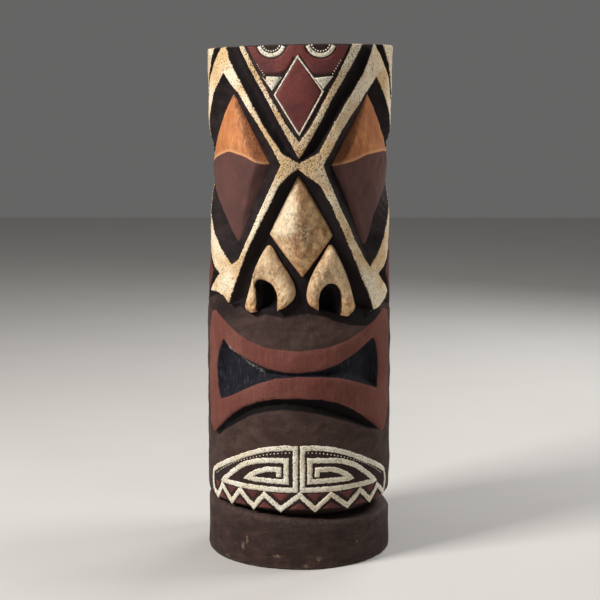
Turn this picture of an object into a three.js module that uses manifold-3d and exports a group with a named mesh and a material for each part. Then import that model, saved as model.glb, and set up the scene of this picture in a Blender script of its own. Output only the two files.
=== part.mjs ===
// A carved and painted tiki figure: a log with a face cut into it, standing on a round base.
// Millimetres, +Z up. The origin is the middle of the base's underside, and the face looks along -Y.
//
// Carving is laid out on the log's unrolled surface. A point there is (s, z): s is the distance
// round the log from the middle of the face, positive towards +X, and z is the height.
import * as THREE from "three";
import { mergeVertices } from "three/addons/utils/BufferGeometryUtils.js";
import Module from "manifold-3d";

const wasm = await Module();
wasm.setup();

// ---- Driving dimensions ----
const HEIGHT = 500; // whole figure, floor to crown
const LOG_R = 90.5; // the log as turned, before carving
const BASE_R = 90.0;
const BASE_TOP = 50.0; // height of the base's upper face
const CHIN_Z = 57.0; // lower edge of the chin, above the neck
const NECK_R = 76.0; // the narrow foot of the log that stands on the base
const CROWN_TILT = THREE.MathUtils.degToRad(1.1); // the crown is sawn a little out of level
const GLUE = 0.3; // gap between faces that touch
const SEAT_GAP = 0.6; // gap round a block that is let into the log
const FINE = 20; // farthest that one facet of a curved, carved face goes round the log
const ROUND = 56; // sides of the log and the base

// Carving depths, measured inwards from the turned surface
const EYE_DEPTH = 13;
const NOSE_DEPTH = 12;
const BROW_GROOVE_DEPTH = 5.5;
const SIDE_GROOVE_DEPTH = 5;
const LIP_SHELF_DEPTH = 5;
const MOUTH_DEPTH = 9;
const CHIN_GROOVE_DEPTH = 6;
const BLOCK_BACK = 26; // how deep the let-in blocks sit
const NOSTRIL_HOLE_DEPTH = 34;

// Joinery
const SPIGOT = { r: 15, z0: 16, z1: 84 };
const PEG = { r: 4, out: 17, into: 44 }; // depths of a peg's two ends below the turned surface
const SCREW = { r: 2.5, headR: 5, z0: 3, head: 3.2, length: 74, ring: 52, count: 3, slot: 1.2 };

// ---- Materials ----
const paint = (hex, roughness) => new THREE.MeshStandardMaterial({ color: hex, roughness, metalness: 0 });
const STAINED_WOOD = paint(0x3b2b25, 0.75);
const AMBER_WOOD = paint(0xa8622f, 0.6);
const PALE_WOOD = paint(0xd8b07a, 0.6);
const BARE_WOOD = paint(0xb99a70, 0.8);
const STEEL = new THREE.MeshStandardMaterial({ color: 0x9a9a96, roughness: 0.4, metalness: 1 });

// ---- Solids ----
function solid(geometry) {
  const g = geometry.index ? geometry.toNonIndexed() : geometry.clone();
  g.deleteAttribute("normal");
  g.deleteAttribute("uv");
  const merged = mergeVertices(g, 1e-3);
  return new wasm.Manifold(
    new wasm.Mesh({
      numProp: 3,
      vertProperties: new Float32Array(merged.attributes.position.array),
      triVerts: new Uint32Array(merged.index.array),
    }),
  );
}

function mesh(name, body, material) {
  const made = body.getMesh();
  const g = new THREE.BufferGeometry();
  g.setAttribute("position", new THREE.BufferAttribute(new Float32Array(made.vertProperties), 3));
  g.setIndex(new THREE.BufferAttribute(new Uint32Array(made.triVerts), 1));
  g.computeVertexNormals();
  const m = new THREE.Mesh(g, material);
  m.name = name;
  return m;
}

// The point at (s, z) on the unrolled surface, at a depth below it.
function onLog(s, z, depth = 0) {
  const r = LOG_R - depth;
  const turn = s / LOG_R;
  return new THREE.Vector3(r * Math.sin(turn), -r * Math.cos(turn), z);
}

// Halves each edge of a triangle that goes farther than FINE in s, and cuts the triangle to match.
// Neighbours halve the edge that they share, so the surface stays closed.
function halved(triangle) {
  const middle = triangle.map((p, i) => {
    const q = triangle[(i + 1) % 3];
    return Math.abs(p.x - q.x) > FINE ? p.clone().add(q).multiplyScalar(0.5) : null;
  });
  const count = middle.filter(Boolean).length;
  if (count === 0) return null;
  if (count === 3) {
    const corners = triangle.map((p, i) => [p, middle[i], middle[(i + 2) % 3]]);
    return [...corners, middle];
  }
  const first = count === 1 ? middle.findIndex(Boolean) : (middle.indexOf(null) + 1) % 3;
  const [a, b, c] = [0, 1, 2].map((i) => triangle[(first + i) % 3]);
  const m = middle[first];
  if (count === 1) return [[a, m, c], [m, b, c]];
  const n = middle[(first + 1) % 3];
  return [[m, b, n], [a, m, n], [a, n, c]];
}

// A shape on the unrolled surface, wrapped round the log and thick from one depth to another.
function wrapped(shape, depth, proud = 6) {
  const thick = depth + proud;
  const flat = new THREE.ExtrudeGeometry(shape, { depth: thick, bevelEnabled: false, curveSegments: 6 });
  const at = flat.attributes.position;
  const corner = (i) => new THREE.Vector3().fromBufferAttribute(at, i);
  const triangle = (i) => [corner(3 * i), corner(3 * i + 1), corner(3 * i + 2)];
  let waiting = Array.from({ length: at.count / 3 }, (_, i) => triangle(i));
  const bent = [];
  while (waiting.length > 0) {
    const pieces = waiting.map((whole) => halved(whole) ?? [whole, null]);
    bent.push(...pieces.filter((made) => made[1] === null).map((made) => made[0]));
    waiting = pieces.filter((made) => made[1] !== null).flat();
  }
  const points = bent.flat().map((p) => onLog(p.x, p.y, depth - p.z));
  return solid(new THREE.BufferGeometry().setFromPoints(points));
}

const polygon = (points) => new THREE.Shape(points.map(([s, z]) => new THREE.Vector2(s, z)));
const mirrored = (points, side) => points.map(([s, z]) => [side * s, z]);

// The same outline, moved outwards by a gap.
function grown(shape, gap) {
  const p = shape.getPoints(6);
  if (p[0].distanceTo(p[p.length - 1]) < 1e-6) p.pop();
  if (THREE.ShapeUtils.area(p) < 0) p.reverse();
  return new THREE.Shape(
    p.map((here, i) => {
      const before = here.clone().sub(p[(i + p.length - 1) % p.length]).normalize();
      const after = p[(i + 1) % p.length].clone().sub(here).normalize();
      const out = new THREE.Vector2(before.y + after.y, -before.x - after.x).normalize();
      const stretch = Math.max(0.5, out.dot(new THREE.Vector2(after.y, -after.x)));
      return here.clone().addScaledVector(out, gap / stretch);
    }),
  );
}

// Cuts away all that lies outside the plane through three points, on the side away from the log's axis.
function facet(body, a, b, c) {
  const size = 300;
  const normal = b.clone().sub(a).cross(c.clone().sub(a)).normalize();
  const middle = a.clone().add(b).add(c).divideScalar(3);
  if (normal.dot(new THREE.Vector3(middle.x, middle.y, 0)) < 0) normal.negate();
  const box = new THREE.BoxGeometry(size, size, size).translate(0, 0, size / 2);
  box.applyQuaternion(new THREE.Quaternion().setFromUnitVectors(new THREE.Vector3(0, 0, 1), normal));
  box.translate(middle.x, middle.y, middle.z);
  return body.subtract(solid(box));
}

// A turned solid whose axis stands at (x, y); the profile goes from the axis, outwards and up, to the axis.
function turned(profile, sides = ROUND, { x, y } = { x: 0, y: 0 }) {
  const g = new THREE.LatheGeometry(profile.map(([r, z]) => new THREE.Vector2(r, z)), sides);
  return solid(g.rotateX(Math.PI / 2).translate(x, y, 0));
}

const post = (r, z0, z1, sides, at) => turned([[0, z0], [r, z0], [r, z1], [0, z1]], sides, at);

// A round peg that points straight out of the log at (s, z).
function radialPeg(s, z, r, outDepth, inDepth) {
  const g = new THREE.CylinderGeometry(r, r, inDepth - outDepth, 20);
  const middle = onLog(s, z, (outDepth + inDepth) / 2);
  const out = new THREE.Vector3(middle.x, middle.y, 0).normalize();
  g.applyQuaternion(new THREE.Quaternion().setFromUnitVectors(new THREE.Vector3(0, 1, 0), out));
  return solid(g.translate(middle.x, middle.y, middle.z));
}

// ---- Outlines on the unrolled surface, for the +X side or for both ----
const EYE_FRAME = [[82, 472], [21, 389], [76, 292], [146, 392]];
const EYE_BLOCK = { top: [77, 455], inner: [28, 389], bottom: [81, 308], outer: [128, 388] };
const EYE_CREST = { inner: [46, 388, 1], middle: [80, 401, 1.5], outer: [117, 395, 3.5] };
const BROW_GROOVE = [[77, 510], [4, 393], [0.6, 400], [61, 510]];
const SIDE_VEE = [[94, 510], [163, 398], [232, 510], [220, 510], [163, 418], [106, 510]];
const SIDE_DIAMOND = [[92, 284], [163, 384], [234, 284], [163, 204]];
const SIDE_DIAMOND_INNER = [[107, 284], [163, 363], [219, 284], [163, 221]];
const NOSE_FIELD = [[0, 391], [-56, 300], [-66, 272], [-62, 247], [62, 241], [68, 262], [56, 300]];
const NOSE_BLOCK = { top: [0, 380], left: [-30, 327], bottom: [2, 283], right: [31, 328] };
const NOSE_RIDGE = [0.5, 332, 1];

function lipShelf() {
  const s = new THREE.Shape();
  s.moveTo(-106, 250);
  s.quadraticCurveTo(0, 179, 106, 250);
  s.lineTo(104, 254);
  s.lineTo(-104, 258);
  return s;
}

function mouth() {
  const s = new THREE.Shape();
  s.moveTo(-88, 220);
  s.quadraticCurveTo(-103, 190, -94, 159);
  s.quadraticCurveTo(0, 214, 91, 170);
  s.quadraticCurveTo(98, 196, 87, 221);
  s.quadraticCurveTo(0, 165, -88, 220);
  return s;
}

function chinGroove() {
  const s = new THREE.Shape();
  s.moveTo(-104, 123);
  s.quadraticCurveTo(0, 191, 98, 125);
  s.lineTo(98, 128);
  s.quadraticCurveTo(0, 212, -104, 127);
  return s;
}

// A nostril is a pointed arch; its outline has the point on top and leans out a little at the foot.
function nostril(side) {
  const s = new THREE.Shape();
  s.moveTo(side * 29.5, 314);
  s.quadraticCurveTo(side * 10, 290, side * 6, 270);
  s.quadraticCurveTo(side * 7, 256, side * 19, 251.5);
  s.lineTo(side * 56, 247);
  s.quadraticCurveTo(side * 51, 278, side * 29.5, 314);
  return s;
}

function nostrilHole(side) {
  const s = new THREE.Shape();
  s.moveTo(side * 19.5, 240);
  s.lineTo(side * 19.5, 266);
  s.bezierCurveTo(side * 21, 281, side * 39, 281, side * 41, 266);
  s.lineTo(side * 41, 240);
  return s;
}

// ---- The face blocks, each let into its own seat in the log ----
function eyeBlock(side) {
  const at = ([s, z], depth) => onLog(side * s, z, depth);
  const crest = ([s, z, depth]) => onLog(side * s, z, depth);
  const { top, inner, bottom, outer } = EYE_BLOCK;
  let body = wrapped(polygon(mirrored([top, inner, bottom, outer], side)), BLOCK_BACK, -0.5);
  const [m, k, n] = [EYE_CREST.inner, EYE_CREST.middle, EYE_CREST.outer].map(crest);
  const rim = { top: at(top, 9), inner: at(inner, 12), bottom: at(bottom, 10), outer: at(outer, 15) };
  const planes = [
    [rim.top, m, k], [rim.top, k, n], [rim.top, rim.inner, m], [rim.top, n, rim.outer],
    [k, m, rim.bottom], [n, k, rim.bottom], [m, rim.inner, rim.bottom], [n, rim.outer, rim.bottom],
  ];
  for (const [a, b, c] of planes) body = facet(body, a, b, c);
  return body;
}

function noseBlock() {
  const { top, left, bottom, right } = NOSE_BLOCK;
  let body = wrapped(polygon([top, left, bottom, right]), BLOCK_BACK, 0);
  const ridge = onLog(...NOSE_RIDGE);
  const rim = [onLog(...top, 9), onLog(...left, 11), onLog(...bottom, 9), onLog(...right, 11)];
  rim.forEach((corner, i) => {
    body = facet(body, corner, rim[(i + 1) % rim.length], ridge);
  });
  return body;
}

function nostrilBlock(side) {
  const at = (s, z, depth) => onLog(side * s, z, depth);
  let body = wrapped(nostril(side), BLOCK_BACK, -2);
  const peak = at(30, 288, 2);
  const foot = at(31, 248, 3);
  body = facet(body, at(29.5, 314, 10), at(6, 270, 9), peak);
  body = facet(body, at(29.5, 314, 10), at(56, 262, 9), peak);
  body = facet(body, at(6, 270, 9), peak, foot);
  body = facet(body, at(56, 262, 9), peak, foot);
  return body.subtract(wrapped(nostrilHole(side), BLOCK_BACK + 4));
}

const SIDES = [["left", -1], ["right", 1]];
const blocks = [
  {
    name: "nose",
    body: noseBlock(),
    seat: polygon(Object.values(NOSE_BLOCK)),
    peg: [0, 330],
    wood: PALE_WOOD,
  },
];
for (const [name, side] of SIDES) {
  const { top, inner, bottom, outer } = EYE_BLOCK;
  blocks.push({
    name: `${name}_eye`,
    body: eyeBlock(side),
    seat: polygon(mirrored([top, inner, bottom, outer], side)),
    peg: [side * 78, 386],
    wood: AMBER_WOOD,
  });
  blocks.push({
    name: `${name}_nostril`,
    body: nostrilBlock(side),
    seat: nostril(side),
    peg: [side * 30, 292],
    wood: PALE_WOOD,
  });
}

// ---- The log ----
function logBlank() {
  const bottom = BASE_TOP + GLUE;
  const blank = turned([
    [0, bottom], [NECK_R, bottom], [NECK_R, CHIN_Z - 2], [LOG_R - 5.5, CHIN_Z],
    [LOG_R - 1.2, CHIN_Z + 6], [LOG_R, CHIN_Z + 12], [LOG_R, HEIGHT + 5], [0, HEIGHT + 5],
  ]);
  const saw = new THREE.BoxGeometry(400, 400, 100).translate(0, 0, 50).rotateY(-CROWN_TILT);
  const drop = LOG_R * Math.sin(CROWN_TILT);
  return blank.subtract(solid(saw.translate(0, 0, HEIGHT - drop)));
}

function carvedLog() {
  let log = logBlank();
  const cut = (shape, depth) => {
    log = log.subtract(wrapped(shape, depth));
  };
  cut(polygon(NOSE_FIELD), NOSE_DEPTH);
  cut(lipShelf(), LIP_SHELF_DEPTH);
  cut(mouth(), MOUTH_DEPTH);
  cut(chinGroove(), CHIN_GROOVE_DEPTH);
  for (const [, side] of SIDES) {
    cut(polygon(mirrored(EYE_FRAME, side)), EYE_DEPTH);
    cut(polygon(mirrored(BROW_GROOVE, side)), BROW_GROOVE_DEPTH);
    cut(polygon(mirrored(SIDE_VEE, side)), SIDE_GROOVE_DEPTH);
    const inner = wrapped(polygon(mirrored(SIDE_DIAMOND_INNER, side)), SIDE_GROOVE_DEPTH + 2, 8);
    log = log.subtract(wrapped(polygon(mirrored(SIDE_DIAMOND, side)), SIDE_GROOVE_DEPTH).subtract(inner));
    cut(nostrilHole(side), NOSTRIL_HOLE_DEPTH);
  }
  for (const { seat, peg } of blocks) {
    cut(grown(seat, SEAT_GAP), BLOCK_BACK + SEAT_GAP);
    log = log.subtract(radialPeg(...peg, PEG.r + GLUE, PEG.out, PEG.into + GLUE));
  }
  log = log.subtract(post(SPIGOT.r + GLUE, 0, SPIGOT.z1 + GLUE, 32));
  const pilot = SCREW.z0 + SCREW.length + 1;
  for (const at of screwPlaces()) log = log.subtract(post(SCREW.r + GLUE, 0, pilot, 24, at));
  return log;
}

// ---- The base and what holds it on ----
function screwPlaces() {
  return Array.from({ length: SCREW.count }, (_, i) => {
    const turn = Math.PI / 2 + (i * 2 * Math.PI) / SCREW.count;
    return { x: SCREW.ring * Math.cos(turn), y: SCREW.ring * Math.sin(turn) };
  });
}

function base() {
  let body = turned([
    [0, 0], [BASE_R - 3, 0], [BASE_R - 0.8, 1.2], [BASE_R, 4], [BASE_R, BASE_TOP - 12],
    [BASE_R - 1.2, BASE_TOP - 6], [BASE_R - 3.6, BASE_TOP - 1.8], [BASE_R - 7, BASE_TOP], [0, BASE_TOP],
  ]);
  body = body.subtract(post(SPIGOT.r + GLUE, SPIGOT.z0 - GLUE, HEIGHT, 32));
  const sink = SCREW.headR + GLUE;
  const bore = SCREW.r + GLUE;
  const hole = [
    [0, -1], [sink, -1], [sink, SCREW.z0 + 0.4], [bore, SCREW.z0 + SCREW.head + GLUE], [bore, HEIGHT],
    [0, HEIGHT],
  ];
  for (const at of screwPlaces()) body = body.subtract(turned(hole, 24, at));
  return body;
}

function screw() {
  const top = SCREW.z0 + SCREW.length;
  const body = turned([
    [0, SCREW.z0], [SCREW.headR, SCREW.z0], [SCREW.headR, SCREW.z0 + 0.4], [SCREW.r, SCREW.z0 + SCREW.head],
    [SCREW.r, top - 7], [0, top],
  ], 24);
  return body.subtract(solid(new THREE.BoxGeometry(2 * SCREW.headR + 1, SCREW.slot, 3).translate(0, 0, SCREW.z0)));
}

// ---- The assembly ----
const figure = new THREE.Group();
figure.add(mesh("carved_log", carvedLog(), STAINED_WOOD));
for (const { name, body, peg, wood } of blocks) {
  figure.add(mesh(name, body.subtract(radialPeg(...peg, PEG.r + GLUE, PEG.out - GLUE, PEG.into)), wood));
  figure.add(mesh(`${name}_peg`, radialPeg(...peg, PEG.r, PEG.out, PEG.into), BARE_WOOD));
}
figure.add(mesh("base", base(), STAINED_WOOD));
figure.add(mesh("base_spigot", post(SPIGOT.r, SPIGOT.z0, SPIGOT.z1, 32), BARE_WOOD));
screwPlaces().forEach(({ x, y }, i) => {
  const m = mesh(`base_screw_${i + 1}`, screw(), STEEL);
  m.position.set(x, y, 0);
  figure.add(m);
});

export default figure;
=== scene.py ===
"""A carved and painted tiki figure: a log with a mask-like face cut into it, standing on a round base.

Lengths in this file are millimetres, and become metres when a mesh is made. Carving is laid out on the
log's unrolled surface, where (s, z) is the distance round the log from the middle of the face, positive
towards +X, and the height. Depths are measured inwards from the turned surface of the log.
"""

import logging
import math
from dataclasses import dataclass, field
from enum import Enum
from typing import ClassVar, Sequence

import bmesh
import bpy
import numpy as np
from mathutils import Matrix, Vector

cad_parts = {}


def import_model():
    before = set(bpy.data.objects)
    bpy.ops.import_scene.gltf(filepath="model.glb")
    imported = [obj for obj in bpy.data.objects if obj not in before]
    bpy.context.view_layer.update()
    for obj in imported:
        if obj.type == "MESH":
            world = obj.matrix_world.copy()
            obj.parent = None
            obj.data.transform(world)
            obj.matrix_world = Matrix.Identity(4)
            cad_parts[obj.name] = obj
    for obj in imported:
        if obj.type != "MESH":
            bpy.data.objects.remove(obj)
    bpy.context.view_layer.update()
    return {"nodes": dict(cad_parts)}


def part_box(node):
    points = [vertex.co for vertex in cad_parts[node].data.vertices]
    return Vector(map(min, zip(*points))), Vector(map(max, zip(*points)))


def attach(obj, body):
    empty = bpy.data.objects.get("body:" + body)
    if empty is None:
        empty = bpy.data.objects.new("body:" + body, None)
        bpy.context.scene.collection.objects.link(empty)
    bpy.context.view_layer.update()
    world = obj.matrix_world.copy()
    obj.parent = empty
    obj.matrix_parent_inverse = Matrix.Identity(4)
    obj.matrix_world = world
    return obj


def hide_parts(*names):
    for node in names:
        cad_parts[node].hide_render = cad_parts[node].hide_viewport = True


LOG = logging.getLogger("tiki")
MM = 0.001
# Distances stored on a mesh stop at this many mm, which is also the value on the hidden walls, below zero
REACH = 9.0

Array = np.ndarray
Material = bpy.types.Material
Object = bpy.types.Object
Outline = Sequence[tuple[float, float]]
Colour = tuple[float, float, float, float]


class Side(Enum):
    """Which half of the face a piece belongs to, as the sign of s."""

    LEFT = -1
    RIGHT = 1


class Slot(Enum):
    """Names of the record's material slots."""

    LOG = "stained_carved_wood"
    BASE = "stained_base_wood"
    EYE = "amber_wood"
    NOSE = "pale_wood"


# ---- Outlines on the unrolled log ----

EYE_HOLLOW: dict[Side, Outline] = {
    Side.LEFT: (
        (-83, 474.5), (-73, 465), (-62.5, 456), (-50, 440), (-41, 428), (-34, 418), (-24.5, 403),
        (-17, 389), (-21.5, 380), (-36, 350), (-51, 320), (-62, 300), (-72, 293), (-85, 304),
        (-101, 318), (-112, 328), (-126, 341), (-150, 364), (-157, 387), (-150, 408), (-128, 428),
        (-114, 441), (-104, 454),
    ),
    Side.RIGHT: (
        (86.5, 471), (77, 463), (68.5, 455), (59, 442.5), (50, 432.5), (44, 424), (38.5, 416),
        (31, 402), (23, 389), (26.5, 380), (39, 352), (56, 320), (68.5, 300), (78, 291), (93, 304),
        (107, 321), (114, 329), (126, 341), (150, 364), (157, 387), (150, 408), (128, 428), (114, 441),
        (104, 454),
    ),
}
CROWN_VEE: Outline = (
    (-84.5, 508), (-77.5, 496), (-73, 486), (-66.5, 475.5), (-58.6, 465), (-46, 445), (-34, 425),
    (-16, 400), (0, 390.6), (19, 400), (32, 424), (45, 445), (59.6, 465), (68, 475.5), (73, 486),
    (78.4, 496), (86, 508),
)
VEE_BAND: Outline = ((-67, 508), (-31, 450), (-17, 425), (0.4, 394.6), (18, 425), (31.5, 450), (69.5, 508))
VEE_FIELD: Outline = ((-60.5, 508), (-26, 450), (-11.3, 425), (0.3, 410), (11.5, 425), (25, 450), (57.5, 508))
SIDE_VEE: Outline = (
    (77, 510), (87, 497), (100, 484), (114.5, 470), (128, 448), (147, 408), (163, 394),
    (179, 408), (198, 448), (211.5, 470), (226, 484), (239, 497), (249, 510),
)
SIDE_WEDGE: Outline = (
    (90, 510), (101.5, 497), (114.5, 484), (124, 470), (133, 452), (149, 420), (163, 401),
    (177, 420), (193, 452), (202, 470), (211.5, 484), (224.5, 497), (236, 510),
)
NOSE_FIELD: Outline = (
    (-1, 385.5), (6, 380), (21, 369.5), (32, 350), (47, 320), (57, 300), (67.5, 280), (80.5, 258),
    (84, 248), (62, 246), (20, 249), (-20, 250.5), (-62, 251.5), (-77.5, 254), (-65, 280), (-56.3, 300),
    (-45.5, 320), (-29, 350), (-19.3, 369.5), (-9, 380),
)
SIDE_DIAMOND: Outline = (
    (92, 283), (104, 288), (116, 296), (135, 322), (163, 370), (234, 284), (163, 212), (130, 246),
    (112, 269), (104, 274),
)
SIDE_DIAMOND_HEART: Outline = (
    (110, 283), (122, 294), (140, 320), (163, 355), (216, 284), (163, 230), (128, 262),
)
LATTICE: Outline = (
    (0, 510), (246, 510), (176, 391), (246, 284), (240, 264), (208, 264), (163, 330), (118, 265),
    (108, 256), (93, 250), (81, 247), (60, 250), (0, 379),
)
LATTICE_LEFT_FOOT: Outline = (
    (-124, 266), (-103, 262), (-88, 257.5), (-75, 253), (-60, 253), (-60, 235), (-124, 235),
)
NOSTRIL_RIM: dict[Side, Outline] = {
    Side.LEFT: (
        (-21.5, 251.5), (-14.5, 254.5), (-6, 262), (-3.4, 270), (-7, 281), (-19, 298), (-31.5, 313.5),
        (-43.5, 298), (-51, 280), (-58.5, 260), (-60, 252), (-53, 248),
    ),
    Side.RIGHT: (
        (19.5, 252), (11, 257), (8, 265), (10, 277), (15.5, 289), (23.5, 301), (34, 314),
        (45, 299), (54, 281), (61.5, 262), (64, 253), (55.5, 244.5),
    ),
}
NOSTRIL_HOLE: dict[Side, Outline] = {
    Side.LEFT: (
        (-22, 251.5), (-22, 267), (-27, 276.5), (-35, 280.3), (-41.5, 280.8), (-45.8, 276),
        (-44.6, 266), (-45, 249.5),
    ),
    Side.RIGHT: (
        (19.8, 251.5), (20, 263), (22.6, 271.5), (29, 276.8), (35.5, 277), (41, 273), (44.3, 265),
        (44.3, 246),
    ),
}
SCOOP: Outline = (
    (-126, 262), (-103, 265), (-85, 262), (-75, 254), (-62, 262), (62, 262), (78, 247), (93, 250),
    (108, 256), (118, 262), (124, 250), (108, 240), (60, 205), (-60, 205), (-110, 240),
)
# Black laid on the scoop below the nostrils and the lattice's right foot, as painted shadow
NOSTRIL_SHADOW: Outline = (
    (-76, 256), (-55, 247.5), (-46, 243.5), (-36, 247), (-17, 244), (-5, 246.5), (7, 248.5),
    (31, 244.5), (37, 241), (54, 236), (74, 234), (90, 236), (102, 244), (95, 252), (78, 258), (0, 262),
    (-60, 260),
)
LIPS: Outline = (
    (-103, 246), (-85, 238), (-68, 229), (-50, 221), (-32, 216), (0, 213.5), (31, 217), (57, 225),
    (75, 233), (92, 240), (108, 247), (121, 244), (127, 225), (127, 150), (119, 133), (107, 124),
    (98, 129), (75, 143), (57, 154), (40, 162), (22, 166.5), (0, 168), (-23, 167), (-41, 163),
    (-59, 156), (-76, 146), (-94, 133), (-110, 123), (-121, 131), (-126, 150), (-124, 225), (-116, 243),
)
MOUTH: Outline = (
    (-88, 219.5), (-76, 211), (-50, 202), (-32, 196), (-14, 193), (0, 192.6), (22, 195), (40, 200),
    (57, 208), (75, 217), (85, 221), (90, 217), (94, 203), (95.5, 186), (93, 170), (75, 176), (57, 182),
    (40, 186.5), (22, 188.5), (0, 189), (-23, 187), (-41, 181), (-59, 173), (-76, 165), (-94, 159),
    (-100, 170), (-102, 186), (-98, 204),
)
MOUTH_CHIPS: Outline = ((-77, 213.5), (-57, 200.5), (-38, 193), (-39, 192), (-58, 199.5), (-78, 212.5))
LIP_SHADOW: Outline = (
    (-110, 124), (-94, 134), (-76, 147), (-59, 157), (-41, 164), (-23, 168), (0, 169), (22, 167.5),
    (40, 163), (57, 155), (75, 144), (98, 127.5), (75, 133), (57, 140), (40, 146), (22, 152),
    (4, 155.5), (-14, 157), (-32, 154.5), (-50, 149), (-68, 139), (-85, 130), (-98, 122),
)
CHIN_PANEL: Outline = (
    (-112, 86), (-98, 93), (-85, 99), (-68, 107), (-50, 114.5), (-32, 120.5), (-14, 123), (14, 123),
    (32, 120), (50, 114), (68, 106.5), (85, 98.5), (98, 91.5), (112, 85), (112, 56), (-112, 56),
)
# How far the left and the right flank stand out beyond a true cylinder, as (height, left, right)
FLANKS: tuple[tuple[float, float, float], ...] = (
    (60, 1.6, 1.4), (225, 1.2, 1.2), (262, 0.0, 0.3), (295, -2.4, -0.6), (345, -3.2, -0.6),
    (385, -2.0, -0.2), (440, -1.6, 0.2), (500, -1.2, 1.2),
)


# ---- Curves and fields ----

def smoothstep(x: Array) -> Array:
    """0 below 0, 1 above 1, and 3x^2 - 2x^3 between."""
    x = np.clip(x, 0.0, 1.0)
    return x * x * (3.0 - 2.0 * x)


def signed_distance(outline: Outline, s: Array, z: Array) -> Array:
    """Distance from each (s, z) to the nearest edge of a closed outline, positive inside it.

    Args:
        outline: corners of the outline.
        s: distances round the log.
        z: heights, in an array of the same shape.

    Returns:
        Signed distances in mm.
    """
    corners = np.asarray(outline, float)
    nearest = np.full(s.shape, np.inf)
    inside = np.zeros(s.shape, bool)
    for (s0, z0), (s1, z1) in zip(corners, np.roll(corners, -1, axis=0)):
        ds, dz = s1 - s0, z1 - z0
        t = np.clip(((s - s0) * ds + (z - z0) * dz) / (ds * ds + dz * dz), 0.0, 1.0)
        nearest = np.minimum(nearest, (s - s0 - t * ds) ** 2 + (z - z0 - t * dz) ** 2)
        if dz != 0.0:
            inside ^= ((z0 > z) != (z1 > z)) & (s < s0 + (z - z0) * ds / dz)
    return np.where(inside, 1.0, -1.0) * np.sqrt(nearest)


def smooth_line(points: Outline, step: float, closed: bool = False) -> Array:
    """A Catmull-Rom curve through the points, sampled about every `step` mm.

    Args:
        points: points that the curve passes through.
        step: spacing of the samples.
        closed: whether the curve returns to its first point.

    Returns:
        Samples, one (s, z) per row; a closed curve doesn't repeat its first sample.
    """
    p = np.asarray(points, float)
    before = p[-1:] if closed else 2 * p[:1] - p[1:2]
    after = p[:2] if closed else 2 * p[-1:] - p[-2:-1]
    q = np.concatenate([before, p, after])
    spans = []
    for a, b, c, d in zip(q, q[1:], q[2:], q[3:]):
        count = max(1, round(float(np.linalg.norm(c - b)) / step))
        t = np.linspace(0.0, 1.0, count, endpoint=False)[:, None]
        bend = (2 * a - 5 * b + 4 * c - d) * t**2 + (3 * b - a - 3 * c + d) * t**3
        spans.append(b + 0.5 * ((c - a) * t + bend))
    curve = np.concatenate(spans)
    return curve if closed else np.concatenate([curve, p[-1:]])


def spaced(points: Array, count: int, closed: bool = False) -> Array:
    """The same line with `count` points evenly spaced along it.

    Args:
        points: (n, 2) points of the line.
        count: how many points to give.
        closed: whether the line returns to its first point.

    Returns:
        (count, 2) points.
    """
    p = np.concatenate([points, points[:1]]) if closed else points
    along = np.concatenate([[0.0], np.cumsum(np.linalg.norm(np.diff(p, axis=0), axis=1))])
    at = np.linspace(0.0, along[-1], count, endpoint=not closed)
    return np.stack([np.interp(at, along, p[:, k]) for k in (0, 1)], axis=1)


def mirrored(points: Outline, side: Side) -> list[tuple[float, float]]:
    """The points, with s measured to that side."""
    return [(side.value * s, z) for s, z in points]


def beside(outline: Outline, s: Array, z: Array) -> Array:
    """signed_distance to an outline that is given on the right side and is the same on the left."""
    return signed_distance(outline, np.abs(s), z)


def either(outlines: dict[Side, Outline], s: Array, z: Array) -> Array:
    """signed_distance to the nearer of a left and a right outline."""
    return np.maximum(*(signed_distance(outlines[side], s, z) for side in Side))


@dataclass(frozen=True)
class Spot:
    """A soft spot on the unrolled log."""

    s: float
    z: float
    wide: float
    tall: float

    def at(self, s: Array, z: Array) -> Array:
        """1 at its middle, falling off as exp(-(ds / wide)^2 - (dz / tall)^2)."""
        return np.exp(-(((s - self.s) / self.wide) ** 2) - ((z - self.z) / self.tall) ** 2)


@dataclass(frozen=True)
class Waves:
    """Uneven waves of a handmade surface: their height, usual lengths round and up the log, and seed."""

    height: float
    across: float
    along: float
    seed: int


ADZE = Waves(0.3, 46.0, 38.0, 3)
KNIFE = Waves(0.14, 17.0, 15.0, 5)
GOUGE = Waves(0.18, 13.0, 26.0, 9)
EYE_WAVES = Waves(0.2, 19.0, 25.0, 31)
NOSE_WAVES = Waves(0.25, 15.0, 21.0, 41)
NOSTRIL_WAVES = Waves(0.3, 13.0, 14.0, 51)
NOSTRIL_DENTS = Waves(0.38, 9.0, 7.0, 53)
BASE_WAVES = Waves(0.5, 70.0, 60.0, 61)
BASE_RIPPLE = Waves(0.2, 14.0, 90.0, 62)
WAIST = Spot(158.0, 382.0, 26.0, 34.0)
# Painted shadow: a near-black spot on the scoop below the lattice's left foot
FOOT_SHADOW = Spot(-88.0, 250.0, 30.0, 14.0)
RUBBED = Spot(0.0, 383.0, 30.0, 22.0)
NOSE_SCORCH = Spot(4.0, 326.0, 10.0, 25.0)
NOSTRIL_SCORCH = Spot(0.0, 286.0, math.inf, 7.0)


# ---- Meshes ----

def closed_faces(rows: int, columns: int) -> list[tuple[int, ...]]:
    """Faces of a closed shape whose points are stored ring by ring: quads between rings, and both ends.

    Args:
        rows: how many rings there are.
        columns: how many points each ring has.

    Returns:
        Corner numbers of each face.
    """
    r = np.arange(rows - 1)[:, None] * columns
    c = np.arange(columns)[None, :]
    n = (c + 1) % columns
    quads = np.stack([r + c, r + n, r + columns + n, r + columns + c], axis=-1)
    ends = [tuple(range(columns))[::-1], tuple(range((rows - 1) * columns, rows * columns))]
    return [tuple(q) for q in quads.reshape(-1, 4).tolist()] + ends


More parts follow.
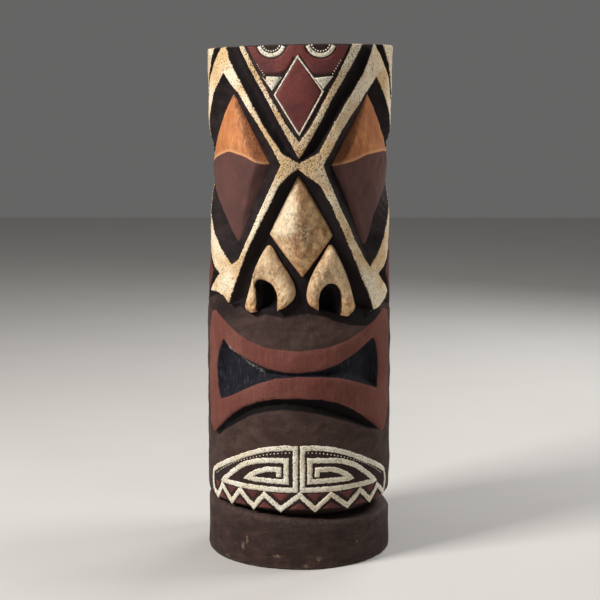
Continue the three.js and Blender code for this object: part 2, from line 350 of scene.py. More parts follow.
def make_piece(
    name: str,
    points: Array,
    finish: Material,
    fields: dict[str, Array] | None = None,
    replaces: str = "",
    faces: list[tuple[int, ...]] | None = None,
    recalculate: bool = True,
) -> Object:
    """Makes a named piece that rides on the figure's one body.

    Args:
        name: the piece's name.
        points: its points in mm, in rings as (rows, columns, 3), or (n, 3) where faces are given.
        finish: its material.
        fields: a value per point for each named attribute.
        replaces: the CAD node that it stands for, if it stands for one.
        faces: corner numbers of each face, where it isn't one closed shape.
        recalculate: whether the faces still have to be turned outwards.

    Returns:
        The new object.
    """
    faces = faces or closed_faces(*points.shape[:2])
    mesh = bpy.data.meshes.new(name)
    mesh.from_pydata((points.reshape(-1, 3) * MM).tolist(), [], faces)
    if recalculate:
        work = bmesh.new()
        work.from_mesh(mesh)
        bmesh.ops.recalc_face_normals(work, faces=work.faces)
        work.to_mesh(mesh)
        work.free()
    for key, values in (fields or {}).items():
        layer = mesh.attributes.new(key, "FLOAT", "POINT")
        held = np.clip(np.broadcast_to(values, points.shape[:-1]), -REACH, REACH)
        layer.data.foreach_set("value", held.astype(np.float32).ravel())
    mesh.polygons.foreach_set("use_smooth", [True] * len(mesh.polygons))
    mesh.materials.append(finish)
    mesh.update()
    piece = bpy.data.objects.new(name, mesh)
    bpy.context.collection.objects.link(piece)
    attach(piece, "root")
    if replaces:
        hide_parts(replaces)
    LOG.info("%s: %d faces", name, len(faces))
    return piece


# ---- The log's surface ----

@dataclass
class LogSurface:
    """The unrolled surface of the carved log, shared by the log and by all that is laid on it."""

    radius: float
    top: float
    crown_tilt: float = math.radians(1.1)
    skin: float = 0.35
    under_lip: tuple[float, float, float] = (8.0, 1.6, 1.15)
    field_line: tuple[float, float, float] = (1.3, 1.8, 1.3)
    scoop: tuple[float, float, float] = (10.5, 3.6, 0.44)
    lip_edge: tuple[float, float] = (1.3, 2.2)
    gouged: float = 4.0
    flank: tuple[float, float] = (95.0, 45.0)
    waist_depth: float = 4.0
    shadow_spill: float = 1.0
    # The waves: how many cosines, how unequal their lengths are, their phases, and what evens out their sum
    cosines: int = 9
    uneven: tuple[float, float] = (0.5, 1.5)
    phases: float = 6.28
    evening: float = 3.5
    # How steeply each cut deepens from its edge, and the depth at which it levels off
    CUTS: ClassVar[dict[str, tuple[float, float]]] = {
        "eye": (1.0, 13.0), "vee_groove": (1.35, 7.5), "nose": (1.9, 11.0), "diamond_groove": (1.3, 6.0),
        "mouth": (2.4, 10.0), "hole": (6.0, 25.0),
    }

    @property
    def girth(self) -> float:
        """The distance once round the log."""
        return 2 * math.pi * self.radius

    def crown(self, x: Array) -> Array:
        """Height of the sawn crown above x: a plane that rises towards +X."""
        return self.top + x * math.tan(self.crown_tilt)

    def ripple(self, s: Array, z: Array, waves: Waves, shift: int = 0) -> Array:
        """Smooth uneven waves, closed round the log.

        A sum of cosines, each with a whole number of waves round the log and a random phase.

        Args:
            s: distances round the log.
            z: heights.
            waves: their height, lengths and seed.
            shift: added to the seed.

        Returns:
            Values of the waves, mostly between plus and minus their height.
        """
        rng = np.random.default_rng(waves.seed + shift)
        total = np.zeros(np.broadcast(s, z).shape)
        for _ in range(self.cosines):
            turns = round(float(rng.uniform(*self.uneven)) * self.girth / waves.across)
            rise = float(rng.uniform(*self.uneven)) / waves.along * float(rng.choice([-1, 1]))
            phase = float(rng.uniform(0, self.phases))
            total += np.cos(2 * math.pi * (turns * s / self.girth + rise * z) + phase)
        return waves.height * total / self.evening

    def regions(self, s: Array, z: Array) -> dict[str, Array]:
        """Signed distances, positive inside, of every carved or painted region.

        The vee over the face has a thin band round a stained field. At each side the band is a whole wedge.

        Args:
            s: distances round the log.
            z: heights.

        Returns:
            Distances in mm by region name.
        """
        vee = np.maximum(signed_distance(CROWN_VEE, s, z), beside(SIDE_VEE, s, z))
        band = np.maximum(signed_distance(VEE_BAND, s, z), beside(SIDE_WEDGE, s, z))
        inner = signed_distance(VEE_FIELD, s, z)
        eye = either(EYE_HOLLOW, s, z)
        nose = signed_distance(NOSE_FIELD, s, z)
        diamond = beside(SIDE_DIAMOND, s, z)
        heart = beside(SIDE_DIAMOND_HEART, s, z)
        lattice = np.minimum(beside(LATTICE, s, z), -signed_distance(LATTICE_LEFT_FOOT, s, z))
        lips = signed_distance(LIPS, s, z)
        mouth = signed_distance(MOUTH, s, z)
        return {
            "lattice": np.minimum(lattice, -np.maximum.reduce([vee, eye, nose, diamond])),
            "vee_groove": np.minimum(vee, -band),
            "vee_band": np.minimum(band, -inner),
            "vee_field": inner,
            "eye": eye,
            "nose": nose,
            "diamond_groove": np.minimum(diamond, -heart),
            "diamond_heart": heart,
            "hole": either(NOSTRIL_HOLE, s, z),
            "scoop": signed_distance(SCOOP, s, z),
            "lips": np.minimum(lips, -mouth),
            "lips_outer": lips,
            "mouth": mouth,
            "lip_shadow": signed_distance(LIP_SHADOW, s, z),
            "panel": signed_distance(CHIN_PANEL, s, z),
        }

    def depth(self, s: Array, z: Array, regions: dict[str, Array] | None = None) -> Array:
        """How far the carved surface lies below the turned one.

        A cut is floor tanh(slope d / floor) deep at a distance d from its edge; where cuts overlap, the
        deepest counts. The wood drops away under the lips, and sinks in the scoop with the distance from
        them. Slow waves are the adze's.

        Args:
            s: distances round the log.
            z: heights.
            regions: what regions() gave for the same places, if it is at hand.

        Returns:
            Depths in mm.
        """
        r = regions or self.regions(s, z)
        cut = np.maximum.reduce([
            floor * np.tanh(np.clip(r[key], 0.0, None) * slope / floor)
            for key, (slope, floor) in self.CUTS.items()
        ])
        outside = np.clip(-r["lips_outer"], 0.0, None)
        floor, run, slope = self.under_lip
        shadow = slope * np.clip(r["lip_shadow"] + self.shadow_spill, 0.0, None)
        cut = np.maximum(cut, np.minimum(floor * np.tanh(outside / run), shadow))
        floor, middle, width = self.field_line
        cut = np.maximum(cut, floor * np.exp(-(((r["vee_field"] - middle) / width) ** 2)))
        floor, slope, rise = self.scoop
        scoop = np.minimum(slope * np.clip(r["scoop"], 0.0, None), rise * outside)
        cut = np.maximum(cut, floor * np.tanh(scoop / floor))
        drop, run = self.lip_edge
        lip_edge = drop * np.exp(-np.abs(r["lips"]) / run)
        hand = self.ripple(s, z, ADZE) + self.ripple(s, z, KNIFE)
        tool = np.tanh(cut / self.gouged) * self.ripple(s, z, GOUGE)
        return cut + lip_edge + hand + tool + self.skin - self.swell(s, z)

    def swell(self, s: Array, z: Array) -> Array:
        """How far the log's sides stand out beyond a true cylinder, less a waist at the temples.

        Args:
            s: distances round the log.
            z: heights.

        Returns:
            Lengths in mm.
        """
        start, run = self.flank
        flank = smoothstep((np.abs(s) - start) / run)
        heights, left, right = np.asarray(FLANKS, float).T
        grown = np.where(s < 0, np.interp(z, heights, left), np.interp(z, heights, right))
        return flank * grown - self.waist_depth * WAIST.at(np.abs(s), z)

    def point(self, s: Array, z: Array, depth: Array | float) -> Array:
        """Points at (s, z) and that depth: x = r sin(s/R), y = -r cos(s/R), with r = R - depth.

        Args:
            s: distances round the log.
            z: heights.
            depth: depths below the turned surface.

        Returns:
            Points in mm, with x, y and z last.
        """
        turn = s / self.radius
        r = self.radius - depth
        return np.stack([r * np.sin(turn), -r * np.cos(turn), z + 0.0 * turn], axis=-1)


@dataclass
class CarvedLog:
    """The log itself, as one closed surface from the middle of its foot to the middle of its crown."""

    surface: LogSurface
    foot: float
    chin: float = 57.0
    neck_inset: float = 14.5
    curl: float = 17.0
    fine: float = 1.3
    middle: float = 1.9
    coarse: float = 4.5
    face_end: float = 128.0
    cheek_end: float = 236.0
    coarse_below: float = 250.0
    tilt_run: float = 60.0
    chip_reach: float = 2.0
    CROWN_SHARES: ClassVar[tuple[float, ...]] = (
        0.97, 0.94, 0.9, 0.84, 0.76, 0.66, 0.54, 0.42, 0.3, 0.18, 0.08, 0.01,
    )

    def columns(self) -> Array:
        """Places round the log, closer together on the face than on the cheeks and the back."""
        half_girth = self.surface.girth / 2
        face = np.arange(0.0, self.face_end, self.fine)
        cheek = np.arange(self.face_end, self.cheek_end, self.middle)
        count = max(2, round((half_girth - self.cheek_end) / self.coarse))
        back = np.linspace(self.cheek_end, half_girth, count, endpoint=False)
        half = np.concatenate([face, cheek, back])
        return np.concatenate([-half[:0:-1], half, [half_girth]])

    def rows(self) -> tuple[Array, Array, Array]:
        """The profile: each row's height, how far it is drawn in, and the share of the radius left."""
        chin, foot, top, inset = self.chin, self.foot, self.surface.top, self.neck_inset
        under = [(foot, inset, share) for share in (0.02, 0.6, 1.0)]
        neck = [(foot + 2.5, inset, 1.0), (chin - 1.5, inset - 0.5, 1.0)]
        lip = [(chin - 0.2, 9.0, 1.0), (chin + 0.1, 6.8, 1.0)]
        curl = [
            (chin + self.curl * (1 - math.sqrt(1 - a * a)), 6.0 * (1 - a) ** 1.6, 1.0)
            for a in np.linspace(0.15, 1.0, 9)
        ]
        low = np.arange(chin + self.curl + 0.5, self.coarse_below, self.middle)
        high = np.arange(self.coarse_below, top - 1.6, self.fine)
        body = [(float(z), 0.0, 1.0) for z in np.concatenate([low, high])]
        edge = [(top - 1.1, 0.25, 1.0), (top - 0.4, 0.9, 1.0), (top, 2.0, 1.0)]
        crown = [(top, 2.0, share) for share in self.CROWN_SHARES]
        table = np.array(under + neck + lip + curl + body + edge + crown)
        return table[:, 0], table[:, 1], table[:, 2]

    def build(self, finish: Material) -> Object:
        """Builds the log: r = (R - depth - inset) * share, with its regions stored for the finish.

        Args:
            finish: the piece's material.

        Returns:
            The new piece.
        """
        f = self.surface
        z_row, inset, share = self.rows()
        s, z = np.meshgrid(self.columns(), z_row)
        level = f.crown(f.radius * np.sin(s / f.radius))
        z = z + (level - f.top) * smoothstep((z - (f.top - self.tilt_run)) / self.tilt_run)
        r = f.regions(s, z)
        depth = np.where(z_row[:, None] < self.chin + 0.5, f.skin, f.depth(s, z, r))
        spread = (f.radius - depth - inset[:, None]) * share[:, None]
        points = f.point(s, z, f.radius - spread)
        is_crown = (share[:, None] < 1) & (z > f.top / 2)
        points[..., 2] = np.where(is_crown, f.crown(points[..., 0]), points[..., 2])
        # The black field also takes this painted shadow below the nostrils
        nostril_shadow = signed_distance(NOSTRIL_SHADOW, s, z)
        grooves = [r[key] for key in ("eye", "vee_groove", "nose", "diamond_groove", "hole")]
        fields = {
            "cream": np.maximum(r["lattice"], r["vee_band"]),
            "band": r["vee_band"],
            "hollow": r["eye"],
            "black": np.maximum.reduce(grooves + [nostril_shadow]),
            "lip": r["lips"],
            "mouth": r["mouth"],
            "field": np.maximum(r["vee_field"], r["panel"]),
            "heart": r["diamond_heart"],
            "shadow": r["lip_shadow"],
            "chips": 1.0 - smoothstep(np.abs(signed_distance(MOUTH_CHIPS, s, z)) / self.chip_reach),
            "crown": smoothstep(z_row - (f.top - 1.0))[:, None],
            # Painted shadow below the lattice's left foot
            "foot_shadow": FOOT_SHADOW.at(s, z),
            "rubbed": RUBBED.at(s, z),
        }
        return make_piece("painted_log", points, finish, fields, "carved_log", recalculate=False)


# ---- Paint laid on the log ----

@dataclass
class PaintLayer:
    """Raised brushwork that lies on the carved log."""

    surface: LogSurface
    rise: float = 0.34
    sink: float = 0.9
    step: float = 1.2
    wobble: float = 0.36
    shoulder: float = 0.45
    sharpest: float = 0.6
    dot_sides: int = 8
    # A dot's rings, as shares of its radius and of its height
    DOT_SHARES: ClassVar[tuple[float, ...]] = (0.15, 0.6, 0.9, 1.0, 1.0)
    DOT_HEIGHTS: ClassVar[tuple[float, ...]] = (1.0, 0.85, 0.5, 0.2, 0.0)
    points: list[Array] = field(default_factory=list)
    faces: list[tuple[int, ...]] = field(default_factory=list)
    count: int = 0

    def add(self, rings: Array) -> None:
        """Adds a closed shape, given as (rows, columns, 3) points, to the layer.

        Args:
            rings: the shape's points, ring by ring.
        """
        rows, columns = rings.shape[:2]
        self.points.append(rings.reshape(-1, 3))
        self.faces += [tuple(i + self.count for i in f) for f in closed_faces(rows, columns)]
        self.count += rows * columns

    def lift(self, s: Array, z: Array, height: Array | float) -> Array:
        """Points that stand `height` above the carved surface."""
        return self.surface.point(s, z, self.surface.depth(s, z) - height)

    def slab(self, edge_a: Array, edge_b: Array, across: int = 3) -> None:
        """Paint between two edges that run side by side.

        A point of the top is edge_a + t (edge_b - edge_a) at the paint's height, which rounds off
        towards both edges; the sides go down into the wood and meet underneath.

        Args:
            edge_a: (n, 2) points of one edge.
            edge_b: (n, 2) points of the other.
            across: how many strips lie between the two edges.
        """
        inner = np.linspace(0.0, 1.0, across + 1)
        t = np.concatenate([[0.0], inner, [1.0]])
        side = [-self.sink, self.shoulder]
        height = np.concatenate([side, np.ones(across - 1), side[::-1]])
        height = np.where(height > 0, height * self.rise, height)
        place = edge_a[:, None, :] + t[None, :, None] * (edge_b - edge_a)[:, None, :]
        self.add(self.lift(place[..., 0], place[..., 1], height[None, :]))

    def stroke(self, line: Array, width: float, closed: bool = False, seed: int = 1) -> None:
        """One brush stroke along a line, with mitred corners and slightly uneven edges.

        Args:
            line: (n, 2) points along its middle.
            width: the stroke's width.
            closed: whether it returns to its start.
            seed: which unevenness to take.
        """
        p = np.asarray(line, float)
        if closed:
            p = np.concatenate([p, p[:1]])
        leg = np.diff(p, axis=0)
        leg = leg / np.linalg.norm(leg, axis=1, keepdims=True)
        ahead = np.concatenate([leg, leg[:1] if closed else leg[-1:]])
        behind = np.concatenate([leg[-1:] if closed else leg[:1], leg])
        across = np.stack([-(ahead + behind)[:, 1], (ahead + behind)[:, 0]], axis=1)
        across = across / np.linalg.norm(across, axis=1, keepdims=True)
        normal = np.stack([-ahead[:, 1], ahead[:, 0]], axis=1)
        mitre = 1.0 / np.clip((across * normal).sum(axis=1), self.sharpest, 1.0)
        rng = np.random.default_rng(seed)
        uneven = self.wobble * rng.uniform(-1.0, 1.0, (2, len(p)))
        if closed:
            uneven[:, -1] = uneven[:, 0]
        half = (0.5 * width + uneven) * mitre
        self.slab(p + across * half[0][:, None], p - across * half[1][:, None])

    def dot(self, s: float, z: float, radius: float) -> None:
        """A round dab of paint: rings whose height falls off as the square root of 1 - t^2.

        Args:
            s: its middle's distance round the log.
            z: its middle's height.
            radius: its radius.
        """
        turn = np.linspace(0.0, 2 * math.pi, self.dot_sides, endpoint=False)
        share = np.array(self.DOT_SHARES)[:, None]
        height = np.array(self.DOT_HEIGHTS)[:, None] * (self.rise + self.sink) - self.sink
        at_s = s + radius * share * np.cos(turn)
        at_z = z + radius * share * np.sin(turn)
        self.add(self.lift(at_s, at_z, height + 0.0 * at_s))

    def build(self, name: str, finish: Material) -> Object:
        """Makes the layer's shapes into one piece."""
        return make_piece(name, np.concatenate(self.points), finish, faces=self.faces)


def with_corners(runs: Sequence[Outline], step: float, setback: float) -> Array:
    """One line made of smooth runs that meet at corners.

    Args:
        runs: the points of each run; a run starts where the one before ends.
        step: spacing of the samples.
        setback: samples nearer than this to a corner are left out, so that the stroke's inner edge
            doesn't fold over.

    Returns:
        (n, 2) points.
    """
    parts = []
    for k, run in enumerate(runs):
        line = smooth_line(run, step)
        from_start = np.linalg.norm(line - line[0], axis=1)
        from_end = np.linalg.norm(line - line[-1], axis=1)
        keep = np.ones(len(line), bool)
        if k > 0:
            keep &= from_start > setback
        if k < len(runs) - 1:
            keep &= (from_end > setback) | (from_end == 0.0)
        parts.append(line[keep])
    return np.concatenate(parts)


@dataclass
class ChinPattern:
    """White key-shaped spirals, a row of dots and a zigzag with red teeth, painted across the chin."""

    surface: LogSurface
    line_width: float = 5.0
    zigzag_width: float = 4.7
    dot_pitch: float = 3.6
    dot_radius: float = 0.85
    dot_rise: float = 0.45
    tail_width: float = 3.8
    corner_share: float = 0.55
    zigzag_corner_share: float = 0.8
    tooth_flats: tuple[float, float] = (60.2, 75.2)
    tooth_bite: float = 8.0
    tooth_reach: float = 0.55
    tooth_tip: float = 0.4
    tooth_rise: float = 0.3
    tooth_points: int = 6
    # How far the inner upright of each spiral stands from the middle of the chin
    POSTS: ClassVar[dict[Side, float]] = {Side.LEFT: 12.4, Side.RIGHT: 10.4}
    TAIL: Outline = ((110, 85.2), (111, 76), (108.5, 64))
    DOTS: Outline = ((9, 115.6), (20, 114.6), (32, 112.5), (50, 107.3), (68, 100.6), (85, 92.4), (101, 83.5))
    ZIGZAG: Outline = (
        (-107.5, 64), (-100, 60.4), (-90, 73.6), (-74, 60.4), (-62, 73.8), (-46, 60), (-34.5, 73.4),
        (-17.6, 59.8), (0.6, 74.2), (15.6, 60), (31.5, 73.8), (49.4, 60.4), (65.5, 73.2), (80, 60.8),
        (93, 72.8), (107.5, 61.8),
    )

    def spiral(self, post: float) -> list[Outline]:
        """The runs of one spiral, from its middle outwards.

        Args:
            post: where its inner upright stands, measured from the middle of the chin.

        Returns:
            The points of each run, with s counted positive on the spiral's own side.
        """
        return [
            ((post + 7.0, 91.5), (post + 7.3, 98.6)),
            ((post + 7.3, 98.6), (30, 98.4), (38, 96.4), (46, 92.8), (54, 87.4)),
            ((54, 87.4), (30, 87.2), (post, 87.2)),
            ((post, 87.2), (post, 107.8)),
            (
                (post, 107.8), (24, 107.5), (39, 106), (50, 103), (60, 98.5), (70, 91.8), (80, 84.6),
                (88.5, 78.6),
            ),
            ((88.5, 78.6), (60, 79), (3.4, 79)),
            ((3.4, 79), (3.4, 120)),
            (
                (3.4, 120), (14, 120), (32, 117.6), (50, 112), (68, 104.3), (85, 96.7), (98, 90.6),
                (109, 84.8),
            ),
        ]

    def spirals(self, finish: Material) -> None:
        """One spiral on each side of the middle, which nearly mirror each other."""
        setback = self.corner_share * self.line_width
        for side, post in self.POSTS.items():
            layer = PaintLayer(self.surface)
            runs = [mirrored(run, side) for run in self.spiral(post)]
            layer.stroke(with_corners(runs, layer.step, setback), self.line_width, seed=11)
            layer.stroke(smooth_line(mirrored(self.TAIL, side), layer.step), self.tail_width, seed=12)
            layer.build(f"chin_spiral_{side.name.lower()}", finish)

    def dots(self, finish: Material) -> None:
        """Small white dots between the outer two arcs of the spirals.

        Args:
            finish: the piece's material.
        """
        layer = PaintLayer(self.surface, rise=self.dot_rise)
        for side in Side:
            line = smooth_line(mirrored(self.DOTS, side), 1.0)
            count = round(float(np.linalg.norm(np.diff(line, axis=0), axis=1).sum()) / self.dot_pitch)
            for s, z in spaced(line, count):
                layer.dot(float(s), float(z), self.dot_radius)
        layer.build("chin_dots", finish)

    def zigzag(self, finish: Material) -> None:
        """The zigzag along the chin's edge.

        Args:
            finish: the piece's material.
        """
        layer = PaintLayer(self.surface)
        runs = list(zip(self.ZIGZAG, self.ZIGZAG[1:]))
        setback = self.zigzag_corner_share * self.zigzag_width
        layer.stroke(with_corners(runs, layer.step, setback), self.zigzag_width, seed=14)
        layer.build("chin_zigzag", finish)

    def teeth(self, finish: Material) -> None:
        """Red triangles in the zigzag's bays, points up below it and points down above it.

        Args:
            finish: the piece's material.
        """
        layer = PaintLayer(self.surface, rise=self.tooth_rise)
        for before, tip, after in zip(self.ZIGZAG, self.ZIGZAG[1:], self.ZIGZAG[2:]):
            hangs = tip[1] < before[1]
            flat = self.tooth_flats[hangs]
            left, right = (tip[0] + self.tooth_reach * (end[0] - tip[0]) for end in (before, after))
            t = np.linspace(0.0, 1.0, self.tooth_points)[:, None]
            point = np.array([tip[0], tip[1] + (self.tooth_bite if hangs else -self.tooth_bite)])
            edge_a = np.array([left, flat]) * (1 - t) + (point - (self.tooth_tip, 0)) * t
            edge_b = np.array([right, flat]) * (1 - t) + (point + (self.tooth_tip, 0)) * t
            layer.slab(edge_a, edge_b)
        layer.build("chin_teeth", finish)


@dataclass
class CrownPattern:
    """The painted diamond, half rosettes and small triangles in the vee over the face."""

    surface: LogSurface
    crown_margin: float = 1.7
    fill: float = 0.955
    crescent: tuple[float, float] = (16.0, 30.0)
    band_gap: float = 2.6
    diamond_gap: float = 2.2
    middle_gap: float = 2.2
    middle_s: float = -3.0
    line_width: float = 1.5
    arc_radius: float = 12.8
    arc_width: float = 3.7
    dots_radius: float = 9.2
    dots_count: int = 9
    dot_radius: float = 1.0
    edge_dot_count: int = 6
    edge_dot_radius: float = 0.75
    red_rise: float = 0.25
    pale_rise: float = 0.5
    pale_wobble: float = 0.12
    outline_step: float = 1.3
    # How many times a crescent's outer edge is drawn in, and by what share of its width each time
    tries: int = 40
    draw_in: float = 0.06
    crescent_points: int = 60
    DIAMOND: Outline = ((-1.2, 488.5), (22.6, 456.8), (0.4, 417), (-22.6, 453.4))
    ROSETTES: Outline = ((-26.0, 502.5), (20.4, 502.5))
    TRIANGLES: tuple[Outline, ...] = (
        ((-35.5, 470.5), (-15.5, 470), (-25, 457.5)),
        ((14.5, 469), (32.5, 471), (23, 459)),
    )
    EDGE_DOTS: tuple[Outline, ...] = (((-40.0, 481.5), (-33.0, 472)), ((40, 485), (32, 473)))

    def arc(self, centre: tuple[float, float], radius: float) -> Array:
        """The part of a circle below the crown, from left to right.

        Args:
            centre: the circle's middle, as (s, z).
            radius: its radius.

        Returns:
            (n, 2) points.
        """
        edge = float(self.surface.crown(self.surface.radius * math.sin(centre[0] / self.surface.radius)))
        lean = math.asin(max(0.0, centre[1] - edge + self.crown_margin) / radius)
        turn = np.linspace(math.pi + lean, 2 * math.pi - lean, max(8, round(radius * 1.6)))
        return np.stack([centre[0] + radius * np.cos(turn), centre[1] + radius * np.sin(turn)], axis=1)

    def red(self, finish: Material) -> None:
        """The diamond's fill and the crescents round the rosettes.

        A crescent's outer edge is drawn in step by step until it clears the band, the diamond and the
        other crescent.

        Args:
            finish: the piece's material.
        """
        layer = PaintLayer(self.surface, rise=self.red_rise)
        top, right, bottom, left = np.asarray(self.DIAMOND, float)
        middle = 0.25 * (top + right + bottom + left)
        top, right, bottom, left = (middle + self.fill * (p - middle) for p in (top, right, bottom, left))
        t = np.linspace(0.0, 1.0, 20)[:, None]
        left_edge = np.concatenate([top + (left - top) * t, left + (bottom - left) * t[1:]])
        right_edge = np.concatenate([top + (right - top) * t, right + (bottom - right) * t[1:]])
        layer.slab(left_edge, right_edge, across=12)
        for centre in self.ROSETTES:
            inner, outer = (spaced(self.arc(centre, r), self.crescent_points) for r in self.crescent)
            for _ in range(self.tries):
                held = signed_distance(VEE_FIELD, *outer.T) > self.band_gap
                clear = signed_distance(self.DIAMOND, *outer.T) < -self.diamond_gap
                apart = np.abs(outer[:, 0] - self.middle_s) > self.middle_gap
                drawn_in = outer + self.draw_in * (inner - outer)
                outer = np.where((held & clear & apart)[:, None], outer, drawn_in)
            layer.slab(inner, outer, across=6)
        layer.build("brow_red_fields", finish)

    def pale(self, finish: Material) -> None:
        """The diamond's outline, the white arcs, the dots and the small triangles.

        Args:
            finish: the piece's material.
        """
        layer = PaintLayer(self.surface, rise=self.pale_rise, wobble=self.pale_wobble)
        corners = list(self.DIAMOND) + [self.DIAMOND[0]]
        runs = list(zip(corners, corners[1:]))
        outline = with_corners(runs, self.outline_step, self.outline_step)[:-1]
        layer.stroke(outline, self.line_width, closed=True, seed=21)
        for centre in self.ROSETTES:
            layer.stroke(self.arc(centre, self.arc_radius), self.arc_width, seed=22)
            for s, z in spaced(self.arc(centre, self.dots_radius), self.dots_count):
                layer.dot(float(s), float(z), self.dot_radius)
        for a, b, c in self.TRIANGLES:
            t = np.linspace(0.0, 1.0, 10)[:, None]
            first, second, tip = np.array(a), np.array(b), np.array(c)
            layer.slab(first + (tip - first) * t, second + (tip - second) * t)
        for line in self.EDGE_DOTS:
            for s, z in spaced(np.asarray(line, float), self.edge_dot_count):
                layer.dot(float(s), float(z), self.edge_dot_radius)
        layer.build("brow_pale_lines", finish)


# ---- The let-in blocks ----

Corner = tuple[float, float, float]
# The size of the last ring of a block's foot, as a share of its rim
FOOT_CLOSE = 0.05


def deepest(s: Array, z: Array, facets: Sequence[tuple[Corner, Corner, Corner]], softness: float) -> Array:
    """Depth of the deepest of several facets.

    Each facet is a plane depth = a s + b z + c through three corners. Nearly equal planes are blended
    as log(sum(exp(k depth))) / k, which rounds the ridges.

    Args:
        s: distances round the log.
        z: heights.
        facets: three corners of each, as (s, z, depth).
        softness: k, where a larger one gives a sharper ridge.

    Returns:
        Depths in mm.
    """
    total = np.zeros(s.shape)
    for corners in facets:
        p = np.asarray(corners, float)
        a, b, c = np.linalg.solve(np.column_stack([p[:, :2], np.ones(3)]), p[:, 2])
        total += np.exp(softness * (a * s + b * z + c))
    return np.log(total) / softness


def rings_to(rim: Array, middle: Array, share: Array) -> tuple[Array, Array]:
    """Rings from a middle point out to the rim, as their s and their z: middle + share (rim - middle)."""
    place = middle + share[:, None, None] * (rim - middle)[None]
    return place[..., 0], place[..., 1]


def with_foot(
    s: Array, z: Array, depth: Array, middle: Array, foot_depth: float
) -> tuple[Array, Array, Array]:
    """Rings with a wall added, straight down from the last of them, and a flat foot that closes it.

    Args:
        s: distances round the log of the rings' points.
        z: their heights.
        depth: their depths.
        middle: where the foot closes, as (s, z).
        foot_depth: how deep the foot lies.

    Returns:
        s, z and depth with two more rings.
    """
    s = np.concatenate([s, s[-1:], middle[0] + FOOT_CLOSE * (s[-1:] - middle[0])])
    z = np.concatenate([z, z[-1:], middle[1] + FOOT_CLOSE * (z[-1:] - middle[1])])
    return s, z, np.concatenate([depth, np.full((2, s.shape[1]), foot_depth)])


def hidden_below(values: Array) -> Array:
    """Values of a block's rings, with the lowest value on the two rings that with_foot() adds."""
    return np.concatenate([values, np.full((2, values.shape[1]), -REACH)])


@dataclass(frozen=True)
class EyeShape:
    """One eye: corners as (s, z, depth), s counted positive on its own side, brow line and rim outline."""

    top: Corner
    inner: Corner
    bottom: Corner
    outer: Corner
    ridge: tuple[Corner, Corner, Corner]
    brow: Outline
    rim: Outline
    bark_reach: float = 1.0


EYES: dict[Side, EyeShape] = {
    Side.LEFT: EyeShape(
        top=(77, 456, 8), inner=(29.5, 389, 11), bottom=(74, 313, 10.5), outer=(139, 377, 5.5),
        ridge=((44, 390, 1.0), (78, 400.6, 1.4), (112, 394, 3.0)),
        brow=((0, 390), (40, 389.3), (56, 396.6), (77, 401), (103, 394.6), (140, 384)),
        rim=(
            (77, 456), (91, 438), (101, 423), (107.5, 409), (112, 396), (139, 377), (127, 361),
            (109, 350), (93, 334), (82, 321), (75, 313), (68, 317), (61, 327), (51.5, 348), (42.5, 364),
            (35, 380), (29.5, 389),
        ),
    ),
    Side.RIGHT: EyeShape(
        top=(83, 456, 8), inner=(32.5, 389, 11), bottom=(83, 306, 10.5), outer=(141, 377, 1.4),
        ridge=((46, 389.5, 1.2), (80, 399.4, 1.0), (118.5, 397, 1.8)),
        brow=((0, 389), (36, 387.5), (56, 392), (75, 398.2), (103, 400.6), (140, 398)),
        bark_reach=-1.5,
        rim=(
            (82, 456), (90, 446), (104, 425.6), (114, 409), (118.5, 397), (140, 377), (128, 364),
            (112, 355), (96, 338), (90, 322), (83, 306), (75, 311), (67, 323), (59.5, 341), (51, 361),
            (32.5, 389),
        ),
    ),
}


@dataclass
class EyeBlock:
    """A faceted eye: amber facets above a brow ridge, and darker ones that fall away below it."""

    surface: LogSurface
    side: Side
    foot_depth: float = 21.0
    rings: int = 70
    around: int = 420
    softness: float = 1.7
    crowding: float = 0.9
    bevel: float = 1.1
    bevel_width: float = 1.6
    bark_slope: float = 1.5
    MIDDLE: ClassVar[tuple[float, float]] = (76.0, 390.0)
    # Shifts over which the brow line is averaged, which rounds its turns
    TURNS: ClassVar[tuple[float, ...]] = (-3.5, -1.2, 1.2, 3.5)

    def build(self, finish: Material) -> Object:
        """Builds the block: rings from a point on the ridge to the rim, then down into the log.

        The amber wood ends at the brow line, a curve of height against s that lies along the ridge.

        Args:
            finish: the piece's material.

        Returns:
            The new piece.
        """
        eye = EYES[self.side]
        first, second, temple = eye.ridge
        rim = spaced(np.asarray(eye.rim, float), self.around, closed=True)
        middle = np.array(self.MIDDLE)
        s, z = rings_to(rim, middle, np.linspace(0.01, 1.0, self.rings) ** self.crowding)
        bark = deepest(s, z, [(eye.top, eye.inner, first)], self.softness)
        above = deepest(s, z, [(eye.top, first, second), (eye.top, second, temple)], self.softness)
        below = deepest(s, z, [
            (second, first, eye.bottom), (second, eye.outer, eye.bottom), (first, eye.inner, eye.bottom),
        ], self.softness)
        depth = np.log(sum(np.exp(self.softness * d) for d in (bark, above, below))) / self.softness
        depth = depth + self.surface.ripple(s, z, EYE_WAVES, self.side.value)
        edge = signed_distance(eye.rim, s, z)
        depth = depth + self.bevel * (1.0 - smoothstep(edge / self.bevel_width))
        line_s, line_z = np.asarray(eye.brow, float).T
        brow = z - np.mean([np.interp(s + shift, line_s, line_z) for shift in self.TURNS], axis=0)
        fields = {
            "brow": hidden_below(brow),
            "edge": hidden_below(edge),
            "bark": hidden_below((bark - above) * self.bark_slope + eye.bark_reach),
        }
        s, z, depth = with_foot(s, z, depth, middle, self.foot_depth)
        points = self.surface.point(self.side.value * s, z, depth)
        name = f"{self.side.name.lower()}_eye"
        return make_piece(f"{name}_block", points, finish, fields, name)


